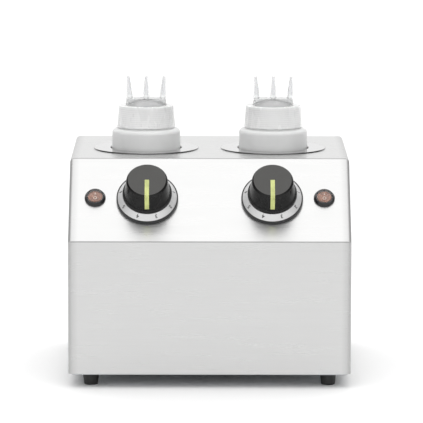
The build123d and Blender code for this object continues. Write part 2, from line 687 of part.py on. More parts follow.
def make_thermostat_shaft(side, name):
    x = side * KNOB_OFFSET
    with BuildPart() as shaft:
        with BuildSketch(on_panel(x, -SHAFT_ENGAGED + FIT_GAP)):
            Circle(SHAFT_RADIUS)
        extrude(amount=SHAFT_ENGAGED + BUSH_HEIGHT)
        with BuildSketch(on_panel(x, BUSH_HEIGHT + FIT_GAP)):
            Circle(SHAFT_RADIUS)
            with Locations((0, SHAFT_FLAT + SHAFT_RADIUS)):
                Rectangle(2 * SHAFT_RADIUS, 2 * SHAFT_RADIUS, mode=Mode.SUBTRACT)
        extrude(amount=SHAFT_TOP - BUSH_HEIGHT)
    save(shaft, f"thermostat_shaft_{name}")


def bend_radii(points):
    """The largest even bend that each corner of a route has room for."""
    spots = [Vector(*point) for point in points]
    radii = []
    for before, corner, after in zip(spots, spots[1:], spots[2:]):
        shorter = min((corner - before).length, (after - corner).length)
        turn = radians((corner - before).get_angle(after - corner))
        radii.append(0.45 * shorter / tan(turn / 2))
    return radii


def tube(points, radius):
    """Round tube or wire along a route of straight runs and even bends."""
    with BuildPart(mode=Mode.PRIVATE) as run:
        with BuildLine() as route:
            FilletPolyline(*points, radius=bend_radii(points))
        start = route.line
        with BuildSketch(Plane(origin=start @ 0, z_dir=start % 0)):
            Circle(radius)
        sweep(path=route.line)
    return run.part


def make_sensor(side, name):
    x = side * KNOB_OFFSET
    bulb_x = side * WELL_OFFSET
    bulb_y = WELL_Y - CUP_OUTER - BULB_RADIUS - FIT_GAP
    bulb_low = CUP_BOTTOM + HEATER_RISE + HEATER_HEIGHT + 4 * BULB_RADIUS
    leave = on_panel(x, -SHEET - THERMOSTAT_BODY[2])
    start = leave.from_local_coords((0, THERMOSTAT_BODY[1] / 4, 0))
    below = start + leave.z_dir * -12
    loop = bulb_low - 7 * BULB_RADIUS
    route = [
        start,
        below,
        Vector(x, below.Y + 13, below.Z - 9),
        Vector((x + bulb_x) / 2, bulb_y - 13, loop),
        Vector(bulb_x, bulb_y, loop + 5),
        Vector(bulb_x, bulb_y, bulb_low),
    ]
    with BuildPart() as sensor:
        with BuildSketch(Plane.XY.offset(bulb_low)):
            with Locations((bulb_x, bulb_y)):
                Circle(BULB_RADIUS)
        extrude(amount=BULB_LENGTH)
        add(tube([tuple(spot) for spot in route], CAPILLARY_RADIUS))
    save(sensor, f"sensor_{name}")


def make_dial_skirt(side, name):
    section = section_of(on_panel(side * KNOB_OFFSET))
    seat_radius = DIAL_OUTER_RADIUS + SEAT_GAP
    seat_z = SKIRT_HEIGHT - DIAL_SHEET
    crown_z = seat_z + DIAL_RISE
    with BuildPart() as skirt:
        with BuildSketch(section) as half:
            with BuildLine():
                Polyline(
                    (BUSH_RADIUS + HOLE_GAP, 0),
                    (SKIRT_RADIUS, 0),
                    (SKIRT_RADIUS, SKIRT_HEIGHT),
                    (seat_radius, SKIRT_HEIGHT),
                    (seat_radius, seat_z),
                    (DIAL_OUTER_RADIUS, seat_z),
                    (DIAL_INNER_RADIUS, crown_z),
                    (DIAL_INNER_RADIUS - KNOB_WALL, crown_z),
                    (DIAL_INNER_RADIUS - KNOB_WALL, SKIRT_PLATE),
                    (BUSH_RADIUS + HOLE_GAP, SKIRT_PLATE),
                    close=True,
                )
            make_face()
            fillet(half.vertices().sort_by_distance((SKIRT_RADIUS, SKIRT_HEIGHT))[0], DIAL_SHEET / 2)
        revolve(axis=axis_of(section))
        with BuildSketch(on_panel(side * KNOB_OFFSET)):
            with Locations((-THERMOSTAT_SCREW_OFFSET, 0), (THERMOSTAT_SCREW_OFFSET, 0)):
                Circle(M4_RADIUS + HOLE_GAP)
        extrude(amount=SKIRT_PLATE, mode=Mode.SUBTRACT)
    save(skirt, f"dial_skirt_{name}")


def make_dial_ring(side, name):
    section = section_of(on_panel(side * KNOB_OFFSET))
    low = SKIRT_HEIGHT - DIAL_SHEET
    with BuildPart() as ring:
        with BuildSketch(section):
            with BuildLine():
                Polyline(
                    (DIAL_OUTER_RADIUS, low),
                    (DIAL_OUTER_RADIUS, SKIRT_HEIGHT),
                    (DIAL_INNER_RADIUS, SKIRT_HEIGHT + DIAL_RISE),
                    (DIAL_INNER_RADIUS, low + DIAL_RISE),
                    close=True,
                )
            make_face()
        revolve(axis=axis_of(section))
    save(ring, f"dial_ring_{name}")


def knob_outline(outset):
    """Outside of the knob from its front face down to the pointer's end, moved out by outset."""
    return [
        (0, KNOB_FACE_HEIGHT + outset),
        (KNOB_FACE_RADIUS + 0.4 * outset, KNOB_FACE_HEIGHT + outset),
        (KNOB_TOP_RADIUS + outset, KNOB_FACE_HEIGHT - KNOB_SHOULDER + 0.4 * outset),
        (KNOB_BASE_RADIUS + outset, KNOB_RIM_Z + KNOB_RIM_HEIGHT),
    ]


def pointer_bar(side, gap):
    """The pointer inlay, or with a gap the groove that takes it."""
    plane = on_panel(side * KNOB_OFFSET)
    section = section_of(plane)
    strip = knob_outline(POINTER_PROUD + gap) + knob_outline(-POINTER_DEPTH - gap)[::-1]
    with BuildPart(mode=Mode.PRIVATE) as bar:
        add(outline(section, strip))
        revolve(axis=axis_of(section))
        low = plane.offset(POINTER_LOW - gap)
        with BuildSketch(low):
            with Locations((0, -KNOB_RIM_RADIUS / 2)):
                Rectangle(POINTER_WIDTH + 2 * gap, KNOB_RIM_RADIUS + 2 * gap)
        extrude(amount=KNOB_FACE_HEIGHT, mode=Mode.INTERSECT)
    return bar.part


def make_knob(side, name):
    plane = on_panel(side * KNOB_OFFSET)
    section = section_of(plane)
    ceiling = KNOB_FACE_HEIGHT - KNOB_WALL - POINTER_DEPTH
    hub_low = SKIRT_PLATE + M4_HEAD_HEIGHT + FIT_GAP
    rim_top = KNOB_RIM_Z + KNOB_RIM_HEIGHT
    wall = KNOB_WALL + POINTER_DEPTH / 2
    with BuildPart() as knob:
        with BuildSketch(section) as half:
            with BuildLine():
                Polyline(
                    (KNOB_BASE_RADIUS - wall, KNOB_RIM_Z),
                    (KNOB_RIM_RADIUS, KNOB_RIM_Z),
                    (KNOB_RIM_RADIUS, rim_top - 0.7),
                    (KNOB_BASE_RADIUS, rim_top),
                    (KNOB_TOP_RADIUS, KNOB_FACE_HEIGHT - KNOB_SHOULDER),
                    (KNOB_FACE_RADIUS, KNOB_FACE_HEIGHT),
                    (0, KNOB_FACE_HEIGHT),
                    (0, hub_low),
                    (KNOB_HUB_RADIUS, hub_low),
                    (KNOB_HUB_RADIUS, ceiling),
                    (KNOB_TOP_RADIUS - wall, ceiling),
                    close=True,
                )
            make_face()
            top_edge = half.vertices().sort_by_distance(
                (KNOB_TOP_RADIUS, KNOB_FACE_HEIGHT - KNOB_SHOULDER)
            )[0]
            fillet(top_edge, KNOB_SHOULDER)
        revolve(axis=axis_of(section))
        with BuildSketch(plane.offset(hub_low)):
            Circle(SHAFT_RADIUS + SEAT_GAP)
            with Locations((0, SHAFT_FLAT + SEAT_GAP + SHAFT_RADIUS)):
                Rectangle(3 * SHAFT_RADIUS, 2 * SHAFT_RADIUS, mode=Mode.SUBTRACT)
        extrude(amount=KNOB_BORE_DEPTH, mode=Mode.SUBTRACT)
        add(pointer_bar(side, SEAT_GAP), mode=Mode.SUBTRACT)
    save(knob, f"knob_{name}")


def make_pointer(side, name):
    with BuildPart() as pointer:
        add(pointer_bar(side, 0))
    save(pointer, f"pointer_{name}")


# --- rocker switches ---------------------------------------------------------


def make_switch_body(side, name):
    plane = at_switch(side)
    section = section_of(plane)
    floor = BEZEL_HEIGHT - SWITCH_CAVITY_DEPTH - ROCKER_PIVOT_DEPTH
    cover_radius = BEZEL_TOP_RADIUS - COVER_LIP + SEAT_GAP
    cover_seat = BEZEL_HEIGHT - COVER_SHEET
    with BuildPart() as body:
        with BuildSketch(section):
            with BuildLine():
                Polyline(
                    (0, -SWITCH_DEPTH),
                    (SWITCH_BARREL_RADIUS, -SWITCH_DEPTH),
                    (SWITCH_BARREL_RADIUS, 0),
                    (BEZEL_RADIUS, 0),
                    (BEZEL_RADIUS, BEZEL_HEIGHT / 3),
                    (BEZEL_TOP_RADIUS, BEZEL_HEIGHT),
                    (cover_radius, BEZEL_HEIGHT),
                    (cover_radius, cover_seat),
                    (SWITCH_CAVITY_RADIUS, cover_seat),
                    (SWITCH_CAVITY_RADIUS, floor),
                    (0, floor),
                    close=True,
                )
            make_face()
        revolve(axis=axis_of(section))
        with BuildSketch(plane.offset(-SWITCH_DEPTH)):
            with GridLocations(0, SWITCH_TAB_SPACING, 1, 3):
                Rectangle(SWITCH_TAB[0], SWITCH_TAB[1])
        extrude(amount=-SWITCH_TAB[2])
        pivot = Plane(
            origin=plane.from_local_coords((0, 0, -ROCKER_PIVOT_DEPTH)), z_dir=plane.x_dir
        )
        with BuildSketch(pivot):
            Circle(ROCKER_PIN_RADIUS + SEAT_GAP)
        extrude(amount=(SWITCH_BARREL_RADIUS + SWITCH_CAVITY_RADIUS) / 2, both=True, mode=Mode.SUBTRACT)
    save(body, f"switch_body_{name}")


def make_rocker(side, name):
    plane = at_switch(side, -ROCKER_PIVOT_DEPTH)
    tilted = plane.rotated((-ROCKER_TILT, 0, 0))
    section = section_of(tilted)
    pin_reach = (SWITCH_BARREL_RADIUS + SWITCH_CAVITY_RADIUS) / 2 - SEAT_GAP
    with BuildPart() as rocker:
        with BuildSketch(section):
            with BuildLine():
                Polyline(
                    (0, ROCKER_EDGE_HEIGHT + ROCKER_CROWN),
                    (0, -1.6 * ROCKER_PIN_RADIUS),
                    (ROCKER_RADIUS - 2 * ROCKER_CROWN, -1.6 * ROCKER_PIN_RADIUS),
                    (ROCKER_RADIUS, ROCKER_CROWN),
                    (ROCKER_RADIUS, ROCKER_EDGE_HEIGHT),
                )
                crown = (0, ROCKER_EDGE_HEIGHT + ROCKER_CROWN)
                sphere = dome_radius(ROCKER_RADIUS, ROCKER_CROWN)
                RadiusArc((ROCKER_RADIUS, ROCKER_EDGE_HEIGHT), crown, -sphere)
            make_face()
        revolve(axis=axis_of(section))
        with BuildSketch(Plane(origin=plane.origin, z_dir=plane.x_dir)):
            Circle(ROCKER_PIN_RADIUS)
        extrude(amount=pin_reach, both=True)
    save(rocker, f"rocker_{name}")


def make_switch_cover(side, name):
    section = section_of(at_switch(side))
    radius = BEZEL_TOP_RADIUS - COVER_LIP
    seat = BEZEL_HEIGHT - COVER_SHEET
    crown = BEZEL_HEIGHT + COVER_DOME
    with BuildPart() as cover:
        with BuildSketch(section):
            with BuildLine():
                Line((radius, seat), (radius, BEZEL_HEIGHT))
                RadiusArc((radius, BEZEL_HEIGHT), (0, crown), -dome_radius(radius, COVER_DOME))
                Line((0, crown), (0, crown - COVER_SHEET))
                RadiusArc(
                    (0, crown - COVER_SHEET),
                    (radius - COVER_SHEET, seat),
                    dome_radius(radius - COVER_SHEET, COVER_DOME),
                )
                Line((radius - COVER_SHEET, seat), (radius, seat))
            make_face()
        revolve(axis=axis_of(section))
    save(cover, f"switch_cover_{name}")


# --- bottles -----------------------------------------------------------------


def make_bottle(side, name):
    section = upright(side * WELL_OFFSET, WELL_Y, CUP_FLOOR)
    wall = BOTTLE_WALL
    inner_radius = NECK_RADIUS - NECK_WALL
    push = BOTTLE_PUSH_UP
    with BuildPart() as bottle:
        with BuildSketch(section) as half:
            with BuildLine():
                Polyline(
                    (0, push),
                    (BOTTLE_FOOT_LAND - push, push),
                    (BOTTLE_FOOT_LAND, 0),
                    (BOTTLE_RADIUS, 0),
                    (BOTTLE_RADIUS, SHOULDER_HEIGHT * 0.85),
                    (SHOULDER_RADIUS, SHOULDER_HEIGHT),
                    (NECK_RADIUS, SHOULDER_HEIGHT + COLLAR_LIFT / 2),
                    (NECK_RADIUS, SHOULDER_HEIGHT + NECK_HEIGHT),
                    (inner_radius, SHOULDER_HEIGHT + NECK_HEIGHT),
                    (inner_radius, SHOULDER_HEIGHT - wall),
                    (SHOULDER_RADIUS - wall, SHOULDER_HEIGHT - wall),
                    (BOTTLE_RADIUS - wall, SHOULDER_HEIGHT * 0.85),
                    (BOTTLE_RADIUS - wall, wall),
                    (BOTTLE_FOOT_LAND + wall / 2, wall),
                    (BOTTLE_FOOT_LAND - push + wall / 2, push + wall),
                    (0, push + wall),
                    close=True,
                )
            make_face()
            corners = (
                ((BOTTLE_RADIUS, 0), BOTTLE_FOOT_FILLET),
                ((BOTTLE_RADIUS - wall, wall), BOTTLE_FOOT_FILLET - wall),
                ((SHOULDER_RADIUS, SHOULDER_HEIGHT), SHOULDER_FILLET),
                ((SHOULDER_RADIUS - wall, SHOULDER_HEIGHT - wall), SHOULDER_FILLET - wall),
            )
            for spot, radius in corners:
                fillet(half.vertices().sort_by_distance(spot)[0], radius)
        revolve(axis=axis_of(section))
    save(bottle, f"bottle_{name}")


def make_collar(side, name):
    section = upright(side * WELL_OFFSET, WELL_Y, COLLAR_Z)
    bore = NECK_RADIUS + COLLAR_BORE_GAP
    ceiling = COLLAR_HEIGHT - COLLAR_TOP_WALL
    with BuildPart() as collar:
        with BuildSketch(section) as half:
            with BuildLine():
                Polyline(
                    (bore, 0),
                    (COLLAR_BOTTOM_RADIUS, 0),
                    (COLLAR_TOP_RADIUS, COLLAR_HEIGHT),
                    (COLLAR_MOUTH_RADIUS, COLLAR_HEIGHT),
                    (COLLAR_MOUTH_RADIUS, ceiling),
                    (bore, ceiling),
                    close=True,
                )
            make_face()
            fillet(half.vertices().sort_by_distance((COLLAR_TOP_RADIUS, COLLAR_HEIGHT))[0], COLLAR_EDGE)
        revolve(axis=axis_of(section))
    save(collar, f"collar_{name}")


def tip_plane(x, y, lean, height):
    """Plane across a nozzle tip, at a height up its axis, which leans by lean over its length."""
    base = Vector(x, y, COLLAR_TOP + WEB_HEIGHT)
    along = Vector(lean, 0, TIP_HEIGHT).normalized()
    return Plane(origin=base + along * height, z_dir=along)


def make_nozzle(side, name):
    x = side * WELL_OFFSET
    section = upright(x, WELL_Y)
    flange_top = NECK_TOP + NOZZLE_FLANGE
    seat = NOZZLE_SEAT_RADIUS
    wall = NOZZLE_WALL
    web_length = 2 * (TIP_OFFSET + TIP_BASE_RADIUS)
    web_width = 2 * TIP_BASE_RADIUS
    leans = ((-TIP_OFFSET, -TIP_SPLAY), (0.0, 0.0), (TIP_OFFSET, TIP_SPLAY))
    root = -wall / 2
    with BuildPart() as nozzle:
        with BuildSketch(section):
            with BuildLine():
                Polyline(
                    (0, COLLAR_TOP + NOZZLE_DOME),
                    (0, NECK_TOP),
                    (NECK_RADIUS, NECK_TOP),
                    (NECK_RADIUS, flange_top),
                    (seat, flange_top),
                    (seat, COLLAR_TOP),
                )
                crown = (0, COLLAR_TOP + NOZZLE_DOME)
                RadiusArc((seat, COLLAR_TOP), crown, -dome_radius(seat, NOZZLE_DOME))
            make_face()
        revolve(axis=axis_of(section))
        with BuildSketch(Plane.XY.offset(COLLAR_TOP + root)):
            with Locations((x, WELL_Y)):
                SlotOverall(web_length, web_width)
        extrude(amount=WEB_HEIGHT - root)
        for offset, lean in leans:
            with BuildSketch(tip_plane(x + offset, WELL_Y, lean, root)):
                Circle(TIP_BASE_RADIUS)
            with BuildSketch(tip_plane(x + offset, WELL_Y, lean, TIP_HEIGHT)):
                Circle(TIP_END_RADIUS)
            loft()
        with BuildSketch(section):
            with BuildLine():
                Polyline(
                    (0, COLLAR_TOP + NOZZLE_DOME - wall),
                    (0, NECK_TOP),
                    (seat - wall, NECK_TOP),
                    (seat - wall, COLLAR_TOP),
                )
                crown = (0, COLLAR_TOP + NOZZLE_DOME - wall)
                inner_dome = dome_radius(seat - wall, NOZZLE_DOME - wall)
                RadiusArc((seat - wall, COLLAR_TOP), crown, -inner_dome)
            make_face()
        revolve(axis=axis_of(section), mode=Mode.SUBTRACT)
        with BuildSketch(Plane.XY.offset(COLLAR_TOP + root)):
            with Locations((x, WELL_Y)):
                SlotOverall(web_length - 2 * wall, web_width - 2 * wall)
        extrude(amount=WEB_HEIGHT - root - wall, mode=Mode.SUBTRACT)
        for offset, lean in leans:
            with BuildSketch(tip_plane(x + offset, WELL_Y, lean, -2 * wall)):
                Circle(TIP_BASE_RADIUS - wall)
            with BuildSketch(tip_plane(x + offset, WELL_Y, lean, TIP_HEIGHT)):
                Circle(TIP_BORE_RADIUS)
            loft(mode=Mode.SUBTRACT)
    save(nozzle, f"nozzle_{name}")


# --- electrics ---------------------------------------------------------------


def on_rear(depth=0.0):
    """Plane across the gland's axis, depth out from the rear panel's outer face."""
    origin = (GLAND_X, REAR + SHEET + depth, GLAND_Z)
    return Plane(origin=origin, x_dir=(1, 0, 0), z_dir=(0, 1, 0))


def make_gland():
    section = section_of(on_rear())
    bore = GLAND_SEAL_RADIUS + SEAT_GAP
    barrel = GLAND_HEX_LENGTH + GLAND_SEAL_LENGTH
    seal_low = GLAND_HEX_LENGTH + GLAND_SEAL_LENGTH / 5
    seal_top = seal_low + GLAND_SEAL_LENGTH
    with BuildPart() as body:
        with BuildSketch(on_rear()):
            RegularPolygon(radius=GLAND_HEX / 2, side_count=6, major_radius=False)
        extrude(amount=GLAND_HEX_LENGTH)
        with BuildSketch(on_rear(-SHEET - GLAND_INNER_LENGTH)):
            Circle(GLAND_THREAD_RADIUS)
        extrude(amount=SHEET + GLAND_INNER_LENGTH + barrel)
        with BuildSketch(on_rear(-SHEET - GLAND_INNER_LENGTH)):
            Circle(CORD_RADIUS + 2 * HOLE_GAP)
        extrude(amount=2 * (GLAND_INNER_LENGTH + barrel), mode=Mode.SUBTRACT)
        with BuildSketch(on_rear(seal_low)):
            Circle(bore)
        extrude(amount=barrel, mode=Mode.SUBTRACT)
    save(body, "cable_gland")
    with BuildPart() as seal:
        with BuildSketch(on_rear(seal_low)):
            Circle(GLAND_SEAL_RADIUS)
            Circle(CORD_RADIUS, mode=Mode.SUBTRACT)
        extrude(amount=GLAND_SEAL_LENGTH)
    save(seal, "gland_seal")
    start = GLAND_HEX_LENGTH + HOLE_GAP
    with BuildPart() as cap:
        with BuildSketch(section) as half:
            with BuildLine():
                Polyline(
                    (GLAND_THREAD_RADIUS + SEAT_GAP, start),
                    (GLAND_NUT_RADIUS, start),
                    (GLAND_NUT_RADIUS, start + GLAND_NUT_LENGTH * 0.6),
                    (CORD_RADIUS + 2.5, start + GLAND_NUT_LENGTH),
                    (CORD_RADIUS + 2 * HOLE_GAP, start + GLAND_NUT_LENGTH),
                    (CORD_RADIUS + 2 * HOLE_GAP, seal_top + SEAT_GAP),
                    (GLAND_THREAD_RADIUS + SEAT_GAP, seal_top + SEAT_GAP),
                    close=True,
                )
            make_face()
            shoulder = (GLAND_NUT_RADIUS, start + GLAND_NUT_LENGTH * 0.6)
            fillet(half.vertices().sort_by_distance(shoulder)[0], GLAND_NUT_RADIUS / 3)
        revolve(axis=axis_of(section))
        with BuildSketch(on_rear(start)):
            with PolarLocations(GLAND_NUT_RADIUS + 0.8, 12):
                Circle(1.2)
        extrude(amount=GLAND_NUT_LENGTH * 0.55, mode=Mode.SUBTRACT)
    save(cap, "gland_nut")
    lock = nut(flipped(on_rear(-SHEET)), GLAND_HEX, GLAND_LOCKNUT_LENGTH, GLAND_THREAD_RADIUS)
    save_group([lock], "gland_locknut")


def terminal_spot(pole):
    """Middle of a pole of the terminal block; the poles are -1, 0 and 1."""
    return (TERMINAL_BLOCK_X + pole * TERMINAL_PITCH, REAR - TERMINAL_BLOCK_MARGIN)


def make_terminal_block():
    width, depth, height = TERMINAL_BLOCK
    pocket_radius = M4_RADIUS + 2 * HOLE_GAP
    pocket_depth = height / 2
    spots = [terminal_spot(pole) for pole in (-1, 0, 1)]
    with BuildPart() as block:
        with BuildSketch(Plane.XY.offset(FOOT_GAP)):
            with Locations(terminal_spot(0)):
                RectangleRounded(width, depth, 1.5)
        extrude(amount=height)
        with BuildSketch(Plane.XY.offset(FOOT_GAP + height)):
            with Locations(*spots):
                Circle(pocket_radius)
        extrude(amount=-pocket_depth, mode=Mode.SUBTRACT)
    save(block, "terminal_block")
    with BuildPart() as screws:
        with BuildSketch(Plane.XY.offset(FOOT_GAP + height - pocket_depth)):
            with Locations(*spots):
                Circle(pocket_radius - SEAT_GAP)
        extrude(amount=pocket_depth - 1)
        with BuildSketch(Plane.XY.offset(FOOT_GAP + height - 1)):
            with Locations(*spots):
                Rectangle(2 * pocket_radius, 0.8)
        extrude(amount=-1, mode=Mode.SUBTRACT)
    save(screws, "terminal_screws")


def make_earth():
    x, y = EARTH_SPOT
    ring_sheet = 1.0
    under = Plane(origin=(x, y, BASE_UNDERSIDE), z_dir=(0, 0, -1))
    on_ring = Plane(origin=(x, y, FOOT_GAP + ring_sheet))
    length = BASE_SHEET + ring_sheet + M4_NUT_HEIGHT + 1.5
    save_group([screw(under, length), nut(on_ring, M4_NUT_FLATS, M4_NUT_HEIGHT, M4_RADIUS)], "earth_stud")
    block_front = REAR - TERMINAL_BLOCK_MARGIN - TERMINAL_BLOCK[1] / 2
    pole_x = terminal_spot(1)[0]
    mid_z = FOOT_GAP + TERMINAL_BLOCK[2] / 2
    barrel_radius = LEAD_RADIUS + 0.6
    barrel_z = FOOT_GAP + barrel_radius
    barrel_end = y - M4_NUT_FLATS / 2 - 8
    route = [
        (pole_x, block_front, mid_z),
        (pole_x, block_front - 9, mid_z),
        (pole_x + 16, block_front - 25, barrel_z + 1),
        (x - 18, barrel_end - 22, barrel_z),
        (x, barrel_end - 16, barrel_z),
        (x, barrel_end, barrel_z),
    ]
    with BuildPart() as lead:
        with BuildSketch(Plane.XY.offset(FOOT_GAP)):
            with Locations((x, y)):
                Circle(M4_NUT_FLATS / 2 + 1)
                Circle(M4_RADIUS + HOLE_GAP, mode=Mode.SUBTRACT)
        extrude(amount=ring_sheet)
        with BuildSketch(Plane(origin=(x, barrel_end, barrel_z), z_dir=(0, 1, 0))):
            Circle(barrel_radius)
        extrude(amount=8 - 0.5)
        add(tube(route, LEAD_RADIUS))
    save(lead, "earth_lead")


def make_leads(side, name):
    """Internal wiring of one well, from the terminal block to its switch, thermostat and heater."""
    base = FOOT_GAP + LEAD_FLOOR - LEAD_LAYER * side
    upper = base + LEAD_LAYER
    block_front = REAR - TERMINAL_BLOCK_MARGIN - TERMINAL_BLOCK[1] / 2
    mid_z = FOOT_GAP + TERMINAL_BLOCK[2] / 2
    switch = at_switch(side)
    thermostat = on_panel(side * KNOB_OFFSET)
    switch_end = -SWITCH_DEPTH - SWITCH_TAB[2]
    thermostat_end = -SHEET - THERMOSTAT_BODY[2] - CUTOUT_TAB[2]
    well_x = side * WELL_OFFSET
    cutout_x = side * (WELL_OFFSET - CUTOUT_OFFSET)
    cutout_end = CUP_BOTTOM - BRIDGE_SHEET - CUTOUT_BODY_HEIGHT - CUTOUT_TAB[2]
    low = cutout_end - 13.5
    block_face = WELL_Y - HEATER_OUTER + HEATER_BLOCK_OFFSET / 4 - HEATER_BLOCK[1] / 2
    block_x = well_x + side * HEATER_BLOCK_OFFSET
    heater_z = CUP_BOTTOM + HEATER_RISE + HEATER_HEIGHT / 2
    front_y = WELL_Y - INSULATION_INNER - INSULATION_THICKNESS
    live_lane = WELL_OFFSET - 5.5
    neutral_lane = WELL_OFFSET - 29.5

    def at(plane, x, y, depth):
        return tuple(plane.from_local_coords((x, y, depth)))

    live_x = terminal_spot(-1)[0] + 2 * side
    neutral_x = terminal_spot(0)[0] + 2 * side
    live = [
        (live_x, block_front, mid_z),
        (live_x, block_front - 9, mid_z),
        (live_x + side, block_front - 22, base),
        ((live_x + side * live_lane) / 2, WELL_Y + 33, base),
        (side * live_lane, WELL_Y, base),
        (side * (WELL_OFFSET + 28.5), front_y - 5, base),
        (side * (SWITCH_OFFSET - 5.9), front_y - 38, base + 22),
        (side * SWITCH_OFFSET, front_y - 44, base + 80),
        at(switch, 0, -SWITCH_TAB_SPACING, switch_end - 20),
        at(switch, 0, -SWITCH_TAB_SPACING, switch_end),
    ]
    switched = [
        at(switch, 0, SWITCH_TAB_SPACING, switch_end),
        at(switch, 0, SWITCH_TAB_SPACING, switch_end - 14),
        at(thermostat, side * (THERMOSTAT_TAB_OFFSET + 22), 8, thermostat_end - 18),
        at(thermostat, side * THERMOSTAT_TAB_OFFSET, 0, thermostat_end - 14),
        at(thermostat, side * THERMOSTAT_TAB_OFFSET, 0, thermostat_end),
    ]
    to_cutout = [
        at(thermostat, -side * THERMOSTAT_TAB_OFFSET, 0, thermostat_end),
        at(thermostat, -side * THERMOSTAT_TAB_OFFSET, 0, thermostat_end - 16),
        (side * (WELL_OFFSET - 22.5), front_y - 18, CUP_BOTTOM + 55),
        (side * (WELL_OFFSET - 23.5), front_y - 16, CUP_BOTTOM),
        (side * (WELL_OFFSET - 19.5), front_y + 10, low),
        (cutout_x, WELL_Y - CUTOUT_RADIUS / 2 - 12, low),
        (cutout_x, WELL_Y - CUTOUT_RADIUS / 2, cutout_end - 7),
        (cutout_x, WELL_Y - CUTOUT_RADIUS / 2, cutout_end),
    ]
    to_heater = [
        (cutout_x, WELL_Y + CUTOUT_RADIUS / 2, cutout_end),
        (cutout_x, WELL_Y + CUTOUT_RADIUS / 2, cutout_end - 7),
        (cutout_x + side * 12, WELL_Y, low),
        (block_x - side * 4, front_y + 4, low),
        (block_x, front_y - 8, CUP_BOTTOM),
        (block_x, front_y - 4, heater_z - 12),
        (block_x, block_face - 8, heater_z - 5),
        (block_x, block_face, heater_z - 5),
    ]
    neutral = [
        (neutral_x, block_front, mid_z),
        (neutral_x, block_front - 9, mid_z),
        (neutral_x + side, block_front - 22, upper),
        ((neutral_x + side * neutral_lane) / 2, WELL_Y + 26, upper),
        (side * neutral_lane, WELL_Y - 8, upper),
        (side * (WELL_OFFSET + 10.5), front_y - 12, upper),
        (block_x, front_y - 26, upper + 24),
        (block_x, front_y - 20, heater_z - 20),
        (block_x, front_y - 6, heater_z + 5),
        (block_x, block_face, heater_z + 5),
    ]
    routes = (live, switched, to_cutout, to_heater, neutral)
    save_group([tube(route, LEAD_RADIUS) for route in routes], f"leads_{name}")


def make_shared_fasteners():
    reach = HEATER_SPLIT / 2 + HEATER_LUG_SHEET
    y = WELL_Y - HEATER_OUTER - HEATER_LUG_LENGTH / 2
    z = CUP_BOTTOM + HEATER_RISE + HEATER_HEIGHT / 2
    clamps = []
    for side, _ in SIDES:
        head = Plane(origin=(side * (WELL_OFFSET - reach), y, z), z_dir=(-side, 0, 0))
        far_lug = Plane(origin=(side * (WELL_OFFSET + reach), y, z), z_dir=(side, 0, 0))
        clamps.append(screw(head, 2 * reach + M4_NUT_HEIGHT + 1))
        clamps.append(nut(far_lug, M4_NUT_FLATS, M4_NUT_HEIGHT, M4_RADIUS))
    save_group(clamps, "band_clamp_screws")
    length = SKIRT_PLATE + SHEET + 2 * M4_NUT_HEIGHT - HOLE_GAP
    save_group([screw(plane, length) for plane in THERMOSTAT_SCREW_PLANES], "thermostat_screws")


def main():
    os.makedirs("parts", exist_ok=True)
    make_casing_shell()
    make_rear_panel()
    make_base_plate()
    make_feet()
    make_casing_fasteners()
    make_well_bridge()
    make_gland()
    make_terminal_block()
    make_earth()
    make_shared_fasteners()
    for side, name in SIDES:
        make_well_cup(side, name)
        make_band_heater(side, name)
        make_insulation(side, name)
        make_cutout(side, name)
        make_thermostat(side, name)
        make_thermostat_shaft(side, name)
        make_sensor(side, name)
        make_dial_skirt(side, name)
        make_dial_ring(side, name)
        make_knob(side, name)
        make_pointer(side, name)
        make_switch_body(side, name)
        make_rocker(side, name)
        make_switch_cover(side, name)
        make_bottle(side, name)
        make_nozzle(side, name)
        make_collar(side, name)
        make_leads(side, name)


if __name__ == "__main__":
    main()
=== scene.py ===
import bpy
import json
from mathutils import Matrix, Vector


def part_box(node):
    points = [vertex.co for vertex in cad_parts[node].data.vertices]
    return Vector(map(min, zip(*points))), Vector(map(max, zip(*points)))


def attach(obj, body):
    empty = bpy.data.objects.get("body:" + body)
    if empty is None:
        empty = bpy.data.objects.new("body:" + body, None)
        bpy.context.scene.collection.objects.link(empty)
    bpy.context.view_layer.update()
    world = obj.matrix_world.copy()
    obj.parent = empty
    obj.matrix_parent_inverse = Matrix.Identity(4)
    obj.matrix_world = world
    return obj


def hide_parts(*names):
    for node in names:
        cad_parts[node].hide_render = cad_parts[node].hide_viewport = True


bl_info = {
    "name": "Sauce bottle warmer",
    "version": (1, 0, 0),
    "blender": (4, 5, 0),
    "location": "3D View > Sidebar > Warmer",
    "description": "Finishes and moulded detail for a two-well sauce bottle warmer",
    "category": "Object",
}

import json
import math

import bpy
from bpy.props import FloatProperty, FloatVectorProperty, IntProperty, PointerProperty
from mathutils import Euler, Matrix, Vector

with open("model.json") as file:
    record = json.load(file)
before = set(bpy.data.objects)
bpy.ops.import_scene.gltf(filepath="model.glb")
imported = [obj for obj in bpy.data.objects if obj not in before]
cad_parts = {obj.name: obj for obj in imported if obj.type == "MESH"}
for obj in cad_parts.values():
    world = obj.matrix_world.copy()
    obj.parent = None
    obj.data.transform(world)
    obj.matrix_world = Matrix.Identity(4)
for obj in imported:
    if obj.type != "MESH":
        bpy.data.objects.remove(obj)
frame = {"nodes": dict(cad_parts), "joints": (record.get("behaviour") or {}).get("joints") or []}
NODES = frame["nodes"]
JOINTS = {joint["name"]: joint for joint in frame["joints"]}
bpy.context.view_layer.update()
PANEL_NORMAL = Vector(JOINTS["knob_left_turn"]["axis"]).normalized()
SIDES = ("left", "right")
MM = 0.001

# --- sizes on the steel ---------------------------------------------------------

BEND_FROM_SIDE = 4.0 * MM  # casing's side to where the sheet's bow meets its bend
SCORE_WIDTH = (0.55 * MM, 0.95 * MM)  # full and faded half-width of a scored line
# width of the dark line of painted shade round a well flange's rim
RIM_SHADE_WIDTH = 0.25 * MM
WALL_SHADE = (1.2 * MM, 2.6 * MM)  # past a bottle's side, where the painted shade on the well's wall starts to fade and ends
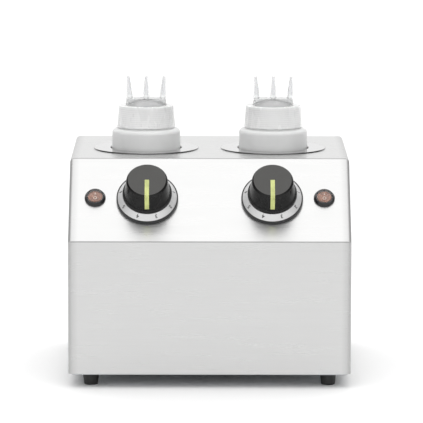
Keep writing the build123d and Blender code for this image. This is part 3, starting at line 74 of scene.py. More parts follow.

# --- sizes of the moulded pieces, which fit the CAD bodies they replace or lie on ---

SHOULDER_GAP = 2.0 * MM  # bottle's shoulder to the collar's lower edge
BOTTLE_WALL = 1.2 * MM
BOTTLE_TAPER = 0.35 * MM
BOTTLE_WAIST = 0.85  # share of the shoulder's height where the taper begins
FOOT_LAND = 31.0 * MM
FOOT_HOLLOW = 4.0 * MM
FOOT_ROUND = 5.0 * MM
SHOULDER_ROUND = 5.0 * MM
SHOULDER_ROUND_INSIDE = 5.3 * MM
FOOT_ROUND_INSIDE = 3.8 * MM
NECK_RADIUS = 27.6 * MM
NECK_WALL = 2.0 * MM
BEAD_RADIUS = 30.4 * MM
BEAD_LOW = 0.4 * MM  # heights above the shoulder
BEAD_HIGH = 1.6 * MM
BEAD_TOP = 1.8 * MM
THREAD_LOW = 5.5 * MM
THREAD_END = 1.5 * MM  # thread's end to the top of the neck
THREAD_ROWS = 60
BOTTLE_SEGMENTS = 192

COLLAR_TAPER = 1.75 * MM
COLLAR_BORE = 28.6 * MM
COLLAR_MOUTH = 22.8 * MM
COLLAR_TOP_WALL = 1.6 * MM
COLLAR_FOOT_ROUND = 0.4 * MM
COLLAR_TOP_ROUND = 0.3 * MM
SMOOTH_BAND = 2.9 * MM  # collar's top to the upper end of its ribs
RIB_LOW = 1.0 * MM
RIB_FADE_LOW = 0.8 * MM
RIB_FADE_HIGH = 0.9 * MM
RIB_ROWS = 56
RIB_SEGMENTS = 6  # round one rib

DOME_SHARE = 0.28  # share of an insert's height taken by its dome
DOME_FADE = 1.5 * MM
WEB_HEIGHT = 2.5 * MM
TIP_FADE = 2.5 * MM

DIAL_WIDTH = 5.2 * MM
DIAL_BASE = 3.9 * MM
DIAL_RISE = 5.7 * MM
FIGURE_LINE = 0.54  # share of the bevel's width where the figures stand
FIGURE_SIZE = 1.35  # type size for each height of a figure
FIGURE_THICKNESS = 0.025 * MM
FIGURE_BOLD = 0.15 * MM
TICK_FAR = 0.9 * MM  # figure to the two ends of its tick
TICK_NEAR = 0.25 * MM
TICK_HALF = 0.22 * MM
TICK_LIFT = 0.05 * MM

ROCKER_RADIUS = 7.7 * MM
ROCKER_CROWN = 5.2 * MM  # pivot to the top of the rocker's dome
ROCKER_DOME = 0.9 * MM
MARK_SINK = 0.05 * MM
MARK_LIFT = 0.12 * MM
BAR_HALF = 0.5 * MM
BAR_LOW = 1.6 * MM
BAR_HIGH = 4.6 * MM
RING_PLACE = -2.9 * MM
RING_RADII = (2.0 * MM, 1.2 * MM)
RING_SEGMENTS = 32

FLOOR_REACH = 14.0
LAMP_PLACE = (0.0, -0.35, 1.9)
LAMP_AIM = (0.0, -0.05, 0.15)
LAMP_SIZE = (2.4, 1.9)
LAMP_POWER = 2.4  # watts
SIDE_FADE = (0.60, 0.90)  # how far sideways a direction leans where the studio starts and ends to dim
HEIGHT_FADE = (0.10, 0.75)  # how far up it leans where the studio starts and ends to brighten
CAMERA_REACH = 100.0


# --- places read from the frame ----------------------------------------------


def axis_point(node):
    """Middle of a node's footprint, for a piece that stands on an upright axis."""
    low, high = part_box(node)
    return Vector(((low.x + high.x) / 2, (low.y + high.y) / 2, low.z))


def half_width(node):
    """Half of a node's width across the machine."""
    low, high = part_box(node)
    return (high.x - low.x) / 2


def panel_frame(joint_name):
    """Matrix whose Z leaves the sloping panel and whose X runs to the right, at a joint's place."""
    right = Vector((1, 0, 0))
    up = PANEL_NORMAL.cross(right)
    turn = Matrix((right, up, PANEL_NORMAL)).transposed().to_4x4()
    return Matrix.Translation(JOINTS[joint_name]["pos_m"]) @ turn


# --- sizes and colours a user would change ------------------------------------


def colour(name, description, value):
    return FloatVectorProperty(
        name=name, description=description, subtype="COLOR", size=3, min=0, max=1, default=value
    )


def length(name, description, value):
    return FloatProperty(
        name=name, description=description, subtype="DISTANCE", unit="LENGTH", min=0, default=value
    )


def share(name, description, value):
    return FloatProperty(name=name, description=description, subtype="FACTOR", min=0, max=1, default=value)


class WarmerSteelLook(bpy.types.PropertyGroup):
    """Sheet steel of the casing, the wells and the brackets."""

    sheet: colour("Sheet", "Brushed stainless steel", (0.60, 0.60, 0.597))
    sheet_dark: colour("Grain", "Darker streaks of the brushing", (0.582, 0.582, 0.579))
    # painted shade: the dark line round a well flange's rim
    cut_edge: colour("Cut edge", "Raw cut edge of the well's flange", (0.16, 0.16, 0.16))
    roughness: share("Roughness", "Blur of the brushed sheet", 0.29)
    polish: share("Polish", "Blur of the polished wells", 0.09)
    # painted shade: bend and bow darken the sheet towards its rounded side bends
    bend: share("Bend tone", "Brightness left where the sheet is bent round a side edge", 0.80)
    bow: length("Bow", "How far in from a side the sheet still bows towards its bend", 0.0105)
    bow_tone: share("Bow tone", "Brightness left where the sheet bows", 0.86)
    # painted shade along the panel's scored folds
    score: share("Score", "Brightness left in the scored folds of the panel", 0.62)
    # painted shade inside the wells, next to the bottles
    well_tone: share("Well tone", "Brightness left inside the wells, heat tinted", 0.30)
    grain_width: length("Grain width", "Width of one brushed streak", 0.0007)
    zinc: colour("Zinc", "Zinc coated brackets and screws", (0.50, 0.52, 0.54))


class WarmerControlLook(bpy.types.PropertyGroup):
    """Knobs, dials and switches."""

    knob: colour("Knob", "Moulded black knob", (0.006, 0.006, 0.006))
    # partly painted light: the face's lighter grey stands for the overhead lamp's light, over its spark
    # grain
    knob_face: colour("Knob face", "Spark-grained front of a knob", (0.075, 0.074, 0.071))
    skirt: colour("Skirt", "Black skirt and bezel", (0.009, 0.009, 0.010))
    pointer: colour("Pointer", "Lime pointer inlay", (0.50, 0.54, 0.20))
    dial: colour("Dial", "Satin aluminium dial ring", (0.70, 0.70, 0.70))
    ink: colour("Ink", "Printed dial marks", (0.03, 0.03, 0.03))
    lens: colour("Lens", "Amber rocker", (0.56, 0.24, 0.14))
    lens_mark: colour("Lens mark", "Pale marks on the rocker", (0.9, 0.72, 0.62))
    digit_height: length("Digit height", "Height of a dial figure", 0.0040)
    digit_count: IntProperty(name="Digits", description="Figures round the dial", min=2, max=10, default=8)
    digit_step: FloatProperty(
        name="Digit step", description="Turn between two figures", subtype="ANGLE", default=math.radians(40)
    )


class WarmerBottleLook(bpy.types.PropertyGroup):
    """Squeeze bottles and their caps."""

    milky: colour("Bottle", "Milky polyethylene", (0.91, 0.915, 0.91))
    cap: colour("Cap", "Milky polypropylene cap", (0.95, 0.955, 0.95))
    clear: colour("Nozzle", "Clear moulded nozzle insert", (0.905, 0.91, 0.91))
    # painted shade: darker tint on the nozzle tips for their grey outlines
    tip: colour("Tips", "Denser clear moulding of the three tips", (0.80, 0.805, 0.81))
    rib_count: IntProperty(name="Ribs", description="Grip ribs round a cap", min=8, max=120, default=80)
    rib_depth: length("Rib depth", "Depth of the grooves between ribs", 0.00011)
    thread_pitch: length("Thread pitch", "Rise of the neck's thread in one turn", 0.00423)
    thread_height: length("Thread height", "How far the thread stands off the neck", 0.0007)
    # painted shade of the neck's thread turns, seen through the cap
    thread_tone: share("Thread tone", "Brightness of the thread's turns, seen through the cap", 0.91)


class WarmerRubberLook(bpy.types.PropertyGroup):
    """Feet, seals, sleeves and the works inside."""

    foot: colour("Foot", "Moulded rubber foot", (0.022, 0.022, 0.022))
    nylon: colour("Nylon", "Black nylon gland", (0.018, 0.018, 0.019))
    pale_nylon: colour("Pale nylon", "Terminal blocks and thermostats", (0.72, 0.69, 0.62))
    copper: colour("Copper", "Capillary tubes and terminals", (0.71, 0.37, 0.22))
    wool: colour("Wool", "Glass wool sleeve", (0.78, 0.74, 0.62))
    sleeve: colour("Sleeve", "Silicone lead sleeve", (0.42, 0.06, 0.04))


class WarmerStageLook(bpy.types.PropertyGroup):
    """Floor, lights and camera."""

    floor: colour("Floor", "Pale floor", (0.96, 0.96, 0.96))
    sky: FloatProperty(name="Sky", description="Brightness overhead", min=0, default=1.52)
    horizon: share("Horizon", "Brightness near the horizon, as a share of overhead", 0.67)
    side_tone: share("Side tone", "Brightness far to the left and right, as a share", 0.16)
    lens: FloatProperty(name="Lens", description="Focal length", subtype="DISTANCE_CAMERA", default=308.3)
    pitch: FloatProperty(
        name="Pitch", description="Camera's tilt down", subtype="ANGLE", default=math.radians(8.373)
    )
    yaw: FloatProperty(
        name="Yaw", description="Camera's turn to the right", subtype="ANGLE", default=math.radians(0.14)
    )
    roll: FloatProperty(
        name="Roll", description="Camera's lean", subtype="ANGLE", default=math.radians(0.101)
    )
    distance: length("Distance", "Camera to the casing's front", 3.775425)
    height: length("Height", "Camera above the bench", 0.745154)
    sideways: FloatProperty(
        name="Sideways", description="Camera to the right of the middle", unit="LENGTH", default=-0.007418
    )


# --- finishes ------------------------------------------------------------------


class Finish:
    """A material put together round one Principled shader."""

    def __init__(self, name, **values):
        self.material = bpy.data.materials.new(name)
        self.material.use_nodes = True
        self.tree = self.material.node_tree
        self.tree.nodes.clear()
        output = self.node("ShaderNodeOutputMaterial")
        self.shader = self.node("ShaderNodeBsdfPrincipled")
        self.tree.links.new(self.shader.outputs["BSDF"], output.inputs["Surface"])
        self.height = None
        for socket, value in values.items():
            self.shader.inputs[socket.replace("_", " ")].default_value = value
        self.spot = self.node("ShaderNodeTexCoord").outputs["Object"]

    def node(self, kind, **settings):
        made = self.tree.nodes.new(kind)
        for key, value in settings.items():
            setattr(made, key, value)
        return made

    def link(self, source, target):
        self.tree.links.new(source, target)

    def math(self, operation, first, second=0.0):
        """One arithmetic step between sockets or numbers."""
        step = self.node("ShaderNodeMath", operation=operation)
        for value, socket in zip((first, second), step.inputs):
            if isinstance(value, (int, float)):
                socket.default_value = value
            else:
                self.link(value, socket)
        return step.outputs[0]

    def noise(self, size, stretch=(1, 1, 1), detail=4.0, roughness=0.6):
        """Fine noise whose features are about size metres wide, drawn out by stretch."""
        place = self.node("ShaderNodeMapping")
        place.inputs["Scale"].default_value = [1 / (size * reach) for reach in stretch]
        self.link(self.spot, place.inputs["Vector"])
        texture = self.node("ShaderNodeTexNoise")
        texture.inputs["Scale"].default_value = 1.0
        texture.inputs["Detail"].default_value = detail
        texture.inputs["Roughness"].default_value = roughness
        self.link(place.outputs["Vector"], texture.inputs["Vector"])
        return texture.outputs["Fac"]

    def cells(self, size):
        """Small rounded cells about size metres wide, as in a moulded grain."""
        texture = self.node("ShaderNodeTexVoronoi", feature="SMOOTH_F1")
        texture.inputs["Scale"].default_value = 1 / size
        self.link(self.spot, texture.inputs["Vector"])
        return texture.outputs["Distance"]

    def tint(self, amount, dark, light, low=0.35, high=0.65):
        """Colour that runs from dark to light as amount goes from low to high."""
        ramp = self.node("ShaderNodeValToRGB")
        ramp.color_ramp.elements[0].position = low
        ramp.color_ramp.elements[0].color = (*dark, 1)
        ramp.color_ramp.elements[1].position = high
        ramp.color_ramp.elements[1].color = (*light, 1)
        self.link(amount, ramp.inputs["Fac"])
        return ramp.outputs["Color"]

    def mix(self, amount, first, second):
        """Colour between first and second by amount."""
        blend = self.node("ShaderNodeMix", data_type="RGBA")
        self.link(amount, blend.inputs["Factor"])
        for value, socket in ((first, blend.inputs[6]), (second, blend.inputs[7])):
            if isinstance(value, tuple):
                socket.default_value = (*value, 1)
            else:
                self.link(value, socket)
        return blend.outputs[2]

    def toned(self, source, tone):
        """The same colour at a share of its brightness."""
        scaled = self.node("ShaderNodeVectorMath", operation="SCALE")
        scaled.inputs["Scale"].default_value = tone
        self.link(source, scaled.inputs[0])
        return scaled.outputs["Vector"]

    def axes(self, source=None):
        """X, Y and Z of a vector, or of the place on the piece."""
        parts = self.node("ShaderNodeSeparateXYZ")
        self.link(source or self.spot, parts.inputs["Vector"])
        return parts.outputs["X"], parts.outputs["Y"], parts.outputs["Z"]

    def distance(self, across, along):
        """Length of the sloping side over two steps at right angles."""
        squares = [self.math("MULTIPLY", step, step) for step in (across, along)]
        return self.math("SQRT", self.math("ADD", *squares))

    def painted(self):
        """The colour laid so far."""
        return self.shader.inputs["Base Color"].links[0].from_socket

    def paint(self, source):
        self.link(source, self.shader.inputs["Base Color"])

    def range(self, amount, low, high, start=0.3, end=0.7):
        """Number that runs from low to high as amount goes from start to end."""
        remap = self.node("ShaderNodeMapRange")
        remap.inputs["From Min"].default_value = start
        remap.inputs["From Max"].default_value = end
        remap.inputs["To Min"].default_value = low
        remap.inputs["To Max"].default_value = high
        self.link(amount, remap.inputs["Value"])
        return remap.outputs["Result"]

    def rough(self, amount, low, high):
        self.link(self.range(amount, low, high), self.shader.inputs["Roughness"])

    def bump(self, amount, depth, strength=1.0):
        """Relief of that depth in metres, on top of any relief laid before."""
        relief = self.node("ShaderNodeBump")
        relief.inputs["Strength"].default_value = strength
        relief.inputs["Distance"].default_value = depth
        self.link(amount, relief.inputs["Height"])
        if self.height is not None:
            self.link(self.height, relief.inputs["Normal"])
        self.height = relief.outputs["Normal"]
        self.link(self.height, self.shader.inputs["Normal"])

    def edges(self, radius):
        """One on sharp edges and nought on flat ground, from how a rounded normal leaves the true one."""
        softened = self.node("ShaderNodeBevel", samples=4)
        softened.inputs["Radius"].default_value = radius
        surface = self.node("ShaderNodeNewGeometry")
        dot = self.node("ShaderNodeVectorMath", operation="DOT_PRODUCT")
        self.link(softened.outputs["Normal"], dot.inputs[0])
        self.link(surface.outputs["Normal"], dot.inputs[1])
        return self.range(dot.outputs["Value"], 1.0, 0.0, 0.80, 0.985)


def brushed_steel(name, look, blur, draw):
    """Sheet brushed from side to side, whose highlights draw out across the grain."""
    finish = Finish(name, Metallic=1.0, Roughness=blur, Anisotropic=draw)
    tangent = finish.node("ShaderNodeTangent", direction_type="RADIAL", axis="X")
    finish.link(tangent.outputs["Tangent"], finish.shader.inputs["Tangent"])
    streaks = finish.noise(look.grain_width, (260, 1, 1), detail=5.0, roughness=0.7)
    broad = finish.noise(look.grain_width * 14, (6.5, 1, 1), detail=3.0)
    handled = finish.noise(50 * MM, detail=3.0)
    grain = finish.tint(streaks, tuple(look.sheet_dark), tuple(look.sheet), 0.3, 0.62)
    smear = finish.range(handled, 0.0, 0.10, 0.45, 0.8)
    finish.paint(finish.mix(smear, grain, tuple(look.sheet)))
    uneven = finish.math("MULTIPLY", finish.math("ADD", streaks, broad), 0.5)
    finish.rough(uneven, blur * 0.8, blur * 1.3)
    finish.bump(streaks, 0.006 * MM, 0.15)
    return finish


def moulded(name, tone, roughness, grain=0.6 * MM, depth=0.01 * MM):
    """Moulded plastic with a fine spark grain, faint flow marks and rubbed edges."""
    dark = tuple(channel * 0.8 for channel in tone)
    light = tuple(min(1.0, channel * 1.18) for channel in tone)
    worn = tuple(min(1.0, channel * 1.6 + 0.015) for channel in tone)
    finish = Finish(name, Roughness=roughness)
    flow = finish.noise(12 * MM, (1, 1, 2.5), detail=3.0)
    spark = finish.cells(grain)
    finish.paint(finish.mix(finish.edges(0.6 * MM), finish.tint(flow, dark, light), worn))
    finish.rough(flow, roughness - 0.05, roughness + 0.07)
    finish.bump(spark, depth, 0.6)
    return finish


def zinc_plate(name, look):
    """Zinc coated sheet with its spangle."""
    finish = Finish(name, Metallic=1.0, Roughness=0.42)
    spangle = finish.node("ShaderNodeTexVoronoi", feature="F1")
    spangle.inputs["Scale"].default_value = 160.0
    finish.link(finish.spot, spangle.inputs["Vector"])
    sparkle = finish.range(spangle.outputs["Color"], 0.0, 1.0, 0.1, 0.9)
    dark = tuple(channel * 0.78 for channel in look.zinc)
    finish.paint(finish.tint(sparkle, dark, tuple(look.zinc), 0.1, 0.9))
    finish.rough(sparkle, 0.34, 0.5)
    finish.bump(finish.noise(1.2 * MM, detail=4.0), 0.02 * MM, 0.4)
    return finish


def clad(finish, *names):
    """Give CAD nodes a finish in place of their plain one."""
    for name in names:
        mesh = NODES[name].data
        mesh.materials.clear()
        mesh.materials.append(finish.material)


# --- meshes ----------------------------------------------------------------------


def make_piece(name, vertices, faces, finish, sharp=35.0):
    """A shown piece from its vertices and faces, shaded smooth up to an angle."""
    mesh = bpy.data.meshes.new(name)
    mesh.from_pydata([tuple(v) for v in vertices], [], faces)
    mesh.validate()
    mesh.materials.append(finish.material)
    mesh.shade_smooth()
    mesh.set_sharp_from_angle(angle=math.radians(sharp))
    piece = bpy.data.objects.new(name, mesh)
    bpy.context.scene.collection.objects.link(piece)
    return piece


def turned(profile, place, segments, shift=None):
    """Vertices and faces of a closed profile of (radius, height) turned about place's Z.

    A point at radius nought becomes a single pole. The shift gives how far a point
    moves outward, from its radius, height and angle.
    """
    vertices = []
    rings = []
    for radius, height in profile:
        if radius == 0:
            rings.append([len(vertices)])
            vertices.append(place @ Vector((0, 0, height)))
            continue
        ring = []
        for step in range(segments):
            angle = 2 * math.pi * step / segments
            reach = radius + (shift(radius, height, angle) if shift else 0.0)
            ring.append(len(vertices))
            spot = (reach * math.cos(angle), reach * math.sin(angle), height)
            vertices.append(place @ Vector(spot))
        rings.append(ring)
    faces = []
    for lower, upper in zip(rings, rings[1:] + rings[:1]):
        if len(lower) == 1 and len(upper) == 1:
            continue
        for step in range(segments):
            following = (step + 1) % segments
            corners = [lower[step % len(lower)], lower[following % len(lower)]]
            corners += [upper[following % len(upper)], upper[step % len(upper)]]
            faces.append(list(dict.fromkeys(corners)))
    return vertices, faces


def rounded(profile, radii, steps):
    """The profile with the corners named in radii rounded, {point: radius}."""
    smooth = []
    count = len(profile)
    for index, point in enumerate(profile):
        radius = radii.get(point)
        corner = Vector(point)
        if not radius:
            smooth.append(tuple(corner))
            continue
        back = (Vector(profile[index - 1]) - corner).normalized()
        ahead = (Vector(profile[(index + 1) % count]) - corner).normalized()
        half = back.angle(ahead) / 2
        centre = corner + (back + ahead).normalized() * (radius / math.sin(half))
        start = corner + back * (radius / math.tan(half)) - centre
        end = corner + ahead * (radius / math.tan(half)) - centre
        for step in range(steps + 1):
            part = start.lerp(end, step / steps).normalized() * radius
            smooth.append(tuple(centre + part))
    return smooth


def stepped(profile, first, last, rows):
    """The profile with the straight run from point first to point last cut into rows."""
    start = Vector(profile[first])
    end = Vector(profile[last])
    between = [tuple(start.lerp(end, row / rows)) for row in range(1, rows)]
    return profile[: first + 1] + between + profile[first + 1 :]


# --- operators --------------------------------------------------------------------


class WARMER_OT_casing(bpy.types.Operator):
    """Brushed finish on the casing and the rear panel, zinc plate on the base plate and the well bridge"""

    bl_idname = "warmer.casing"
    bl_label = "Casing"

    def execute(self, context):
        look = context.scene.warmer_steel
        casing = brushed_steel("brushed_casing", look, look.roughness, 0.45)
        self.darken_bends(casing, look)
        clad(casing, "casing_shell", "rear_panel")
        clad(zinc_plate("zinc_plate", look), "base_plate", "well_bridge")
        return {"FINISHED"}

    def darken_bends(self, finish, look):
        """Painted shade where the sheet turns from the front or the slope into the sides, and where it bows
        towards those bends.
        """
        normal = finish.node("ShaderNodeNewGeometry").outputs["Normal"]
        sideways = finish.math("ABSOLUTE", finish.axes(normal)[0])
        rising = finish.range(sideways, 0.0, 1.0, 0.04, 0.6)
        falling = finish.range(sideways, 1.0, 0.0, 0.9, 0.999)
        round_bend = finish.math("MULTIPLY", rising, falling)
        outward = finish.math("ABSOLUTE", finish.axes()[0])
        side = half_width("casing_shell")
        nearing = finish.range(outward, 0.0, 1.0, side - look.bow, side - BEND_FROM_SIDE)
        bowed = finish.math("MULTIPLY", nearing, falling)
        # painted shade: the sheet is toned darker where it bows and where it rounds into a side bend
        sheet = finish.painted()
        bow_shaded = finish.mix(bowed, sheet, finish.toned(sheet, look.bow_tone))
        bend_shaded = finish.mix(round_bend, bow_shaded, finish.toned(sheet, look.bend))
        # painted shade in the scored folds above and below the sloping panel
        finish.paint(finish.mix(self.folds(finish), bend_shaded, finish.toned(bend_shaded, look.score)))

    def folds(self, finish):
        """One along the scored lines above and below the sloping panel, nought elsewhere."""
        low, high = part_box("casing_shell")
        panel = Vector(JOINTS["knob_left_turn"]["pos_m"])
        drop = high.z - panel.z
        lines = ((low.y, high.z - 2 * drop), (2 * panel.y - low.y, high.z))
        _, depth, rise = finish.axes()
        near = []
        for along, height in lines:
            away = finish.math("SUBTRACT", depth, along)
            above = finish.math("SUBTRACT", rise, height)
            near.append(finish.range(finish.distance(away, above), 1.0, 0.0, *SCORE_WIDTH))
        return finish.math("MAXIMUM", *near)


class WARMER_OT_feet(bpy.types.Operator):
    """Rubber finish on the feet"""

    bl_idname = "warmer.feet"
    bl_label = "Feet"

    def execute(self, context):
        look = context.scene.warmer_rubber
        rubber = moulded("foot_rubber", tuple(look.foot), 0.62, grain=0.9 * MM, depth=0.03 * MM)
        clad(rubber, *[f"foot_{end}_{side}" for end in ("front", "rear") for side in SIDES])
        return {"FINISHED"}


class WARMER_OT_wells(bpy.types.Operator):
    """Polished finish on the well cups, with painted shade on their flanges' rims and on the walls beside
    the bottles
    """

    bl_idname = "warmer.wells"
    bl_label = "Wells"

    def execute(self, context):
        look = context.scene.warmer_steel
        for side in SIDES:
            cup = f"well_cup_{side}"
            finish = brushed_steel(f"well_steel_{side}", look, look.polish, 0.0)
            self.add_cut_edge(finish, axis_point(cup), half_width(cup), look)
            clad(finish, cup)
        return {"FINISHED"}

    def add_cut_edge(self, finish, centre, radius, look):
        """Paint a dark line of shade round the flange's rim, and painted shade on the walls inside next to
        the bottle.
        """
        place_x, place_y, _ = finish.axes()
        across = finish.math("SUBTRACT", place_x, centre.x)
        along = finish.math("SUBTRACT", place_y, centre.y)
        reach = finish.distance(across, along)
        # painted shade: a dark line round the flange's rim
        edge = finish.math("GREATER_THAN", reach, radius - RIM_SHADE_WIDTH)
        bottle = half_width("bottle_left")
        # painted shade on the well's wall, fading out past the bottle's side
        inside = finish.range(reach, 1.0, 0.0, *[bottle + fade for fade in WALL_SHADE])
        sheet = finish.painted()
        walls = finish.mix(inside, sheet, finish.toned(sheet, look.well_tone))
        finish.paint(finish.mix(edge, walls, tuple(look.cut_edge)))


class WARMER_OT_bottles(bpy.types.Operator):
    """Milky squeeze bottles with their threaded necks"""

    bl_idname = "warmer.bottles"
    bl_label = "Bottles"

    def execute(self, context):
        look = context.scene.warmer_bottle
        finish = self.milky_finish(look)
        for side in SIDES:
            self.make_bottle(side, look, finish)
        return {"FINISHED"}

    def milky_finish(self, look):
        finish = Finish(
            "milky_bottle",
            Roughness=0.36,
            Transmission_Weight=0.15,
            Subsurface_Weight=0.35,
            Subsurface_Radius=(0.012, 0.012, 0.012),
            Subsurface_Scale=1.0,
            IOR=1.5,
        )
        cloud = finish.noise(30 * MM, (1, 1, 1.6), detail=4.0)
        mist = tuple(channel * 0.95 for channel in look.milky)
        finish.paint(finish.tint(cloud, mist, tuple(look.milky)))
        finish.rough(cloud, 0.31, 0.42)
        finish.bump(finish.noise(9 * MM, detail=5.0), 0.12 * MM, 0.25)
        return finish

    def make_bottle(self, side, look, finish):
        name = f"bottle_{side}"
        low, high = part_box(name)
        centre = axis_point(name)
        radius = half_width(name)
        collar_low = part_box(f"collar_{side}")[0].z
        tall = high.z - low.z
        shoulder = collar_low - SHOULDER_GAP - low.z
        inner = radius - BOTTLE_WALL
        waist = shoulder * BOTTLE_WAIST
        floor = FOOT_HOLLOW + BOTTLE_WALL
        profile = [
            (0, FOOT_HOLLOW),
            (FOOT_LAND - FOOT_HOLLOW, FOOT_HOLLOW),
            (FOOT_LAND, 0),
            (radius, 0),
            (radius, waist),
            (radius - BOTTLE_TAPER, shoulder),
            (BEAD_RADIUS, shoulder + BEAD_LOW),
            (BEAD_RADIUS, shoulder + BEAD_HIGH),
            (NECK_RADIUS, shoulder + BEAD_TOP),
            (NECK_RADIUS, tall),
            (NECK_RADIUS - NECK_WALL, tall),
            (NECK_RADIUS - NECK_WALL, shoulder - BOTTLE_WALL),
            (inner, shoulder - BOTTLE_WALL),
            (inner, BOTTLE_WALL),
            (FOOT_LAND + BOTTLE_WALL / 2, BOTTLE_WALL),
            (FOOT_LAND - FOOT_HOLLOW + BOTTLE_WALL / 2, floor),
            (0, floor),
        ]
        neck_low = profile.index((NECK_RADIUS, shoulder + BEAD_TOP))
        profile = stepped(profile, neck_low, neck_low + 1, THREAD_ROWS)
        corners = {
            (radius, 0): FOOT_ROUND,
            (radius - BOTTLE_TAPER, shoulder): SHOULDER_ROUND,
            (inner, shoulder - BOTTLE_WALL): SHOULDER_ROUND_INSIDE,
            (inner, BOTTLE_WALL): FOOT_ROUND_INSIDE,
        }
        profile = rounded(profile, corners, 8)
        start = shoulder + THREAD_LOW
        end = tall - THREAD_END

        def thread(at_radius, height, angle):
            """Rounded ridge that winds up the neck, fading at both ends."""
            if abs(at_radius - NECK_RADIUS) > 1e-6 or not start < height < end:
                return 0.0
            turn = ((height - start) / look.thread_pitch - angle / (2 * math.pi)) % 1.0
            ridge = max(0.0, math.cos((turn - 0.5) * 2 * math.pi)) ** 0.7
            fade = min(1.0, (height - start) / look.thread_pitch, (end - height) / look.thread_pitch)
            return look.thread_height * ridge * fade

        place = Matrix.Translation(centre)
        piece = make_piece(f"{name}_moulded", *turned(profile, place, BOTTLE_SEGMENTS, thread), finish)
        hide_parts(name)
        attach(piece, name)


class WARMER_OT_caps(bpy.types.Operator):
    """Ribbed caps and clear three-way nozzle inserts"""

    bl_idname = "warmer.caps"
    bl_label = "Caps"

    def execute(self, context):
        look = context.scene.warmer_bottle
        finish = self.cap_finish(look)
        for side in SIDES:
            self.make_collar(side, look, finish)
        clad(self.clear_finish(look), *[f"nozzle_{side}" for side in SIDES])
        return {"FINISHED"}

    def cap_finish(self, look):
        finish = Finish(
            "milky_cap",
            Roughness=0.28,
            Transmission_Weight=0.05,
            Subsurface_Weight=0.5,
            Subsurface_Radius=(0.01, 0.01, 0.01),
            Subsurface_Scale=1.0,
            IOR=1.49,
        )
        flow = finish.noise(20 * MM, (1, 1, 3), detail=3.0)
        mist = tuple(channel * 0.94 for channel in look.cap)
        plain = finish.tint(flow, mist, tuple(look.cap))
        # painted shade: faint bands at half the thread's pitch, where the neck's thread shows through the
        # cap
        bands = 2 * math.pi / look.thread_pitch * 2
        turns = finish.math("SINE", finish.math("MULTIPLY", finish.axes()[2], bands))
        thread = finish.range(turns, 0.0, 1.0, -0.2, 1.0)
        finish.paint(finish.mix(thread, plain, finish.toned(plain, look.thread_tone)))
        finish.rough(flow, 0.22, 0.34)
        finish.bump(finish.noise(3 * MM, detail=3.0), 0.006 * MM, 0.2)
        return finish

    def clear_finish(self, look):
        """Clear in the tips and the web, cloudier in the thick dome under them; the tips are tinted darker
        as painted shade for their grey outlines.
        """
        depth = (8 * MM, 8 * MM, 8 * MM)
        finish = Finish("clear_nozzle", IOR=1.45, Subsurface_Radius=depth, Subsurface_Scale=1.0)
        flow = finish.noise(12 * MM, (1, 1, 3), detail=3.0)
        mist = tuple(channel * 0.97 for channel in look.clear)
        web = finish.tint(flow, mist, tuple(look.clear))
        height = finish.axes()[2]
        low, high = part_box("nozzle_left")
        dome_top = low.z + (high.z - low.z) * DOME_SHARE
        web_top = dome_top + WEB_HEIGHT
        cloudy = finish.range(height, 1.0, 0.0, dome_top - DOME_FADE, web_top)
        tips = finish.range(height, 0.0, 1.0, web_top, web_top + TIP_FADE)
        finish.paint(finish.mix(tips, web, tuple(look.tip)))
        for socket, clear, dome in (
            ("Transmission Weight", 1.0, 0.74),
            ("Subsurface Weight", 0.0, 0.14),
            ("Roughness", 0.02, 0.22),
        ):
            finish.link(finish.range(cloudy, clear, dome, 0.0, 1.0), finish.shader.inputs[socket])
        finish.bump(finish.noise(30 * MM, detail=1.0), 0.001 * MM, 0.05)
        return finish

    def make_collar(self, side, look, finish):
        name = f"collar_{side}"
        low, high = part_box(name)
        foot = half_width(name)
        tall = high.z - low.z
        head = foot - COLLAR_TAPER
        ceiling = tall - COLLAR_TOP_WALL
        band = tall - SMOOTH_BAND
        profile = [
            (COLLAR_BORE, 0),
            (foot, 0),
            (head, tall),
            (COLLAR_MOUTH, tall),
            (COLLAR_MOUTH, ceiling),
            (COLLAR_BORE, ceiling),
        ]
        profile = stepped(profile, 1, 2, RIB_ROWS)
        profile = rounded(profile, {(foot, 0): COLLAR_FOOT_ROUND, (head, tall): COLLAR_TOP_ROUND}, 4)
        count = look.rib_count

        def ribs(at_radius, height, angle):
            """Grooves between the grip ribs, fading out under the smooth band and at the lower edge."""
            slope = foot + (head - foot) * height / tall
            if abs(at_radius - slope) > 0.05 * MM:
                return 0.0
            fade = min(1.0, (height - RIB_LOW) / RIB_FADE_LOW, (band - height) / RIB_FADE_HIGH)
            groove = (0.5 - 0.5 * math.cos(count * angle)) ** 1.4
            return -look.rib_depth * groove * max(0.0, fade)

        place = Matrix.Translation(axis_point(name))
        shape = turned(profile, place, count * RIB_SEGMENTS, ribs)
        piece = make_piece(f"{name}_ribbed", *shape, finish, 50.0)
        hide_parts(name)
        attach(piece, name)


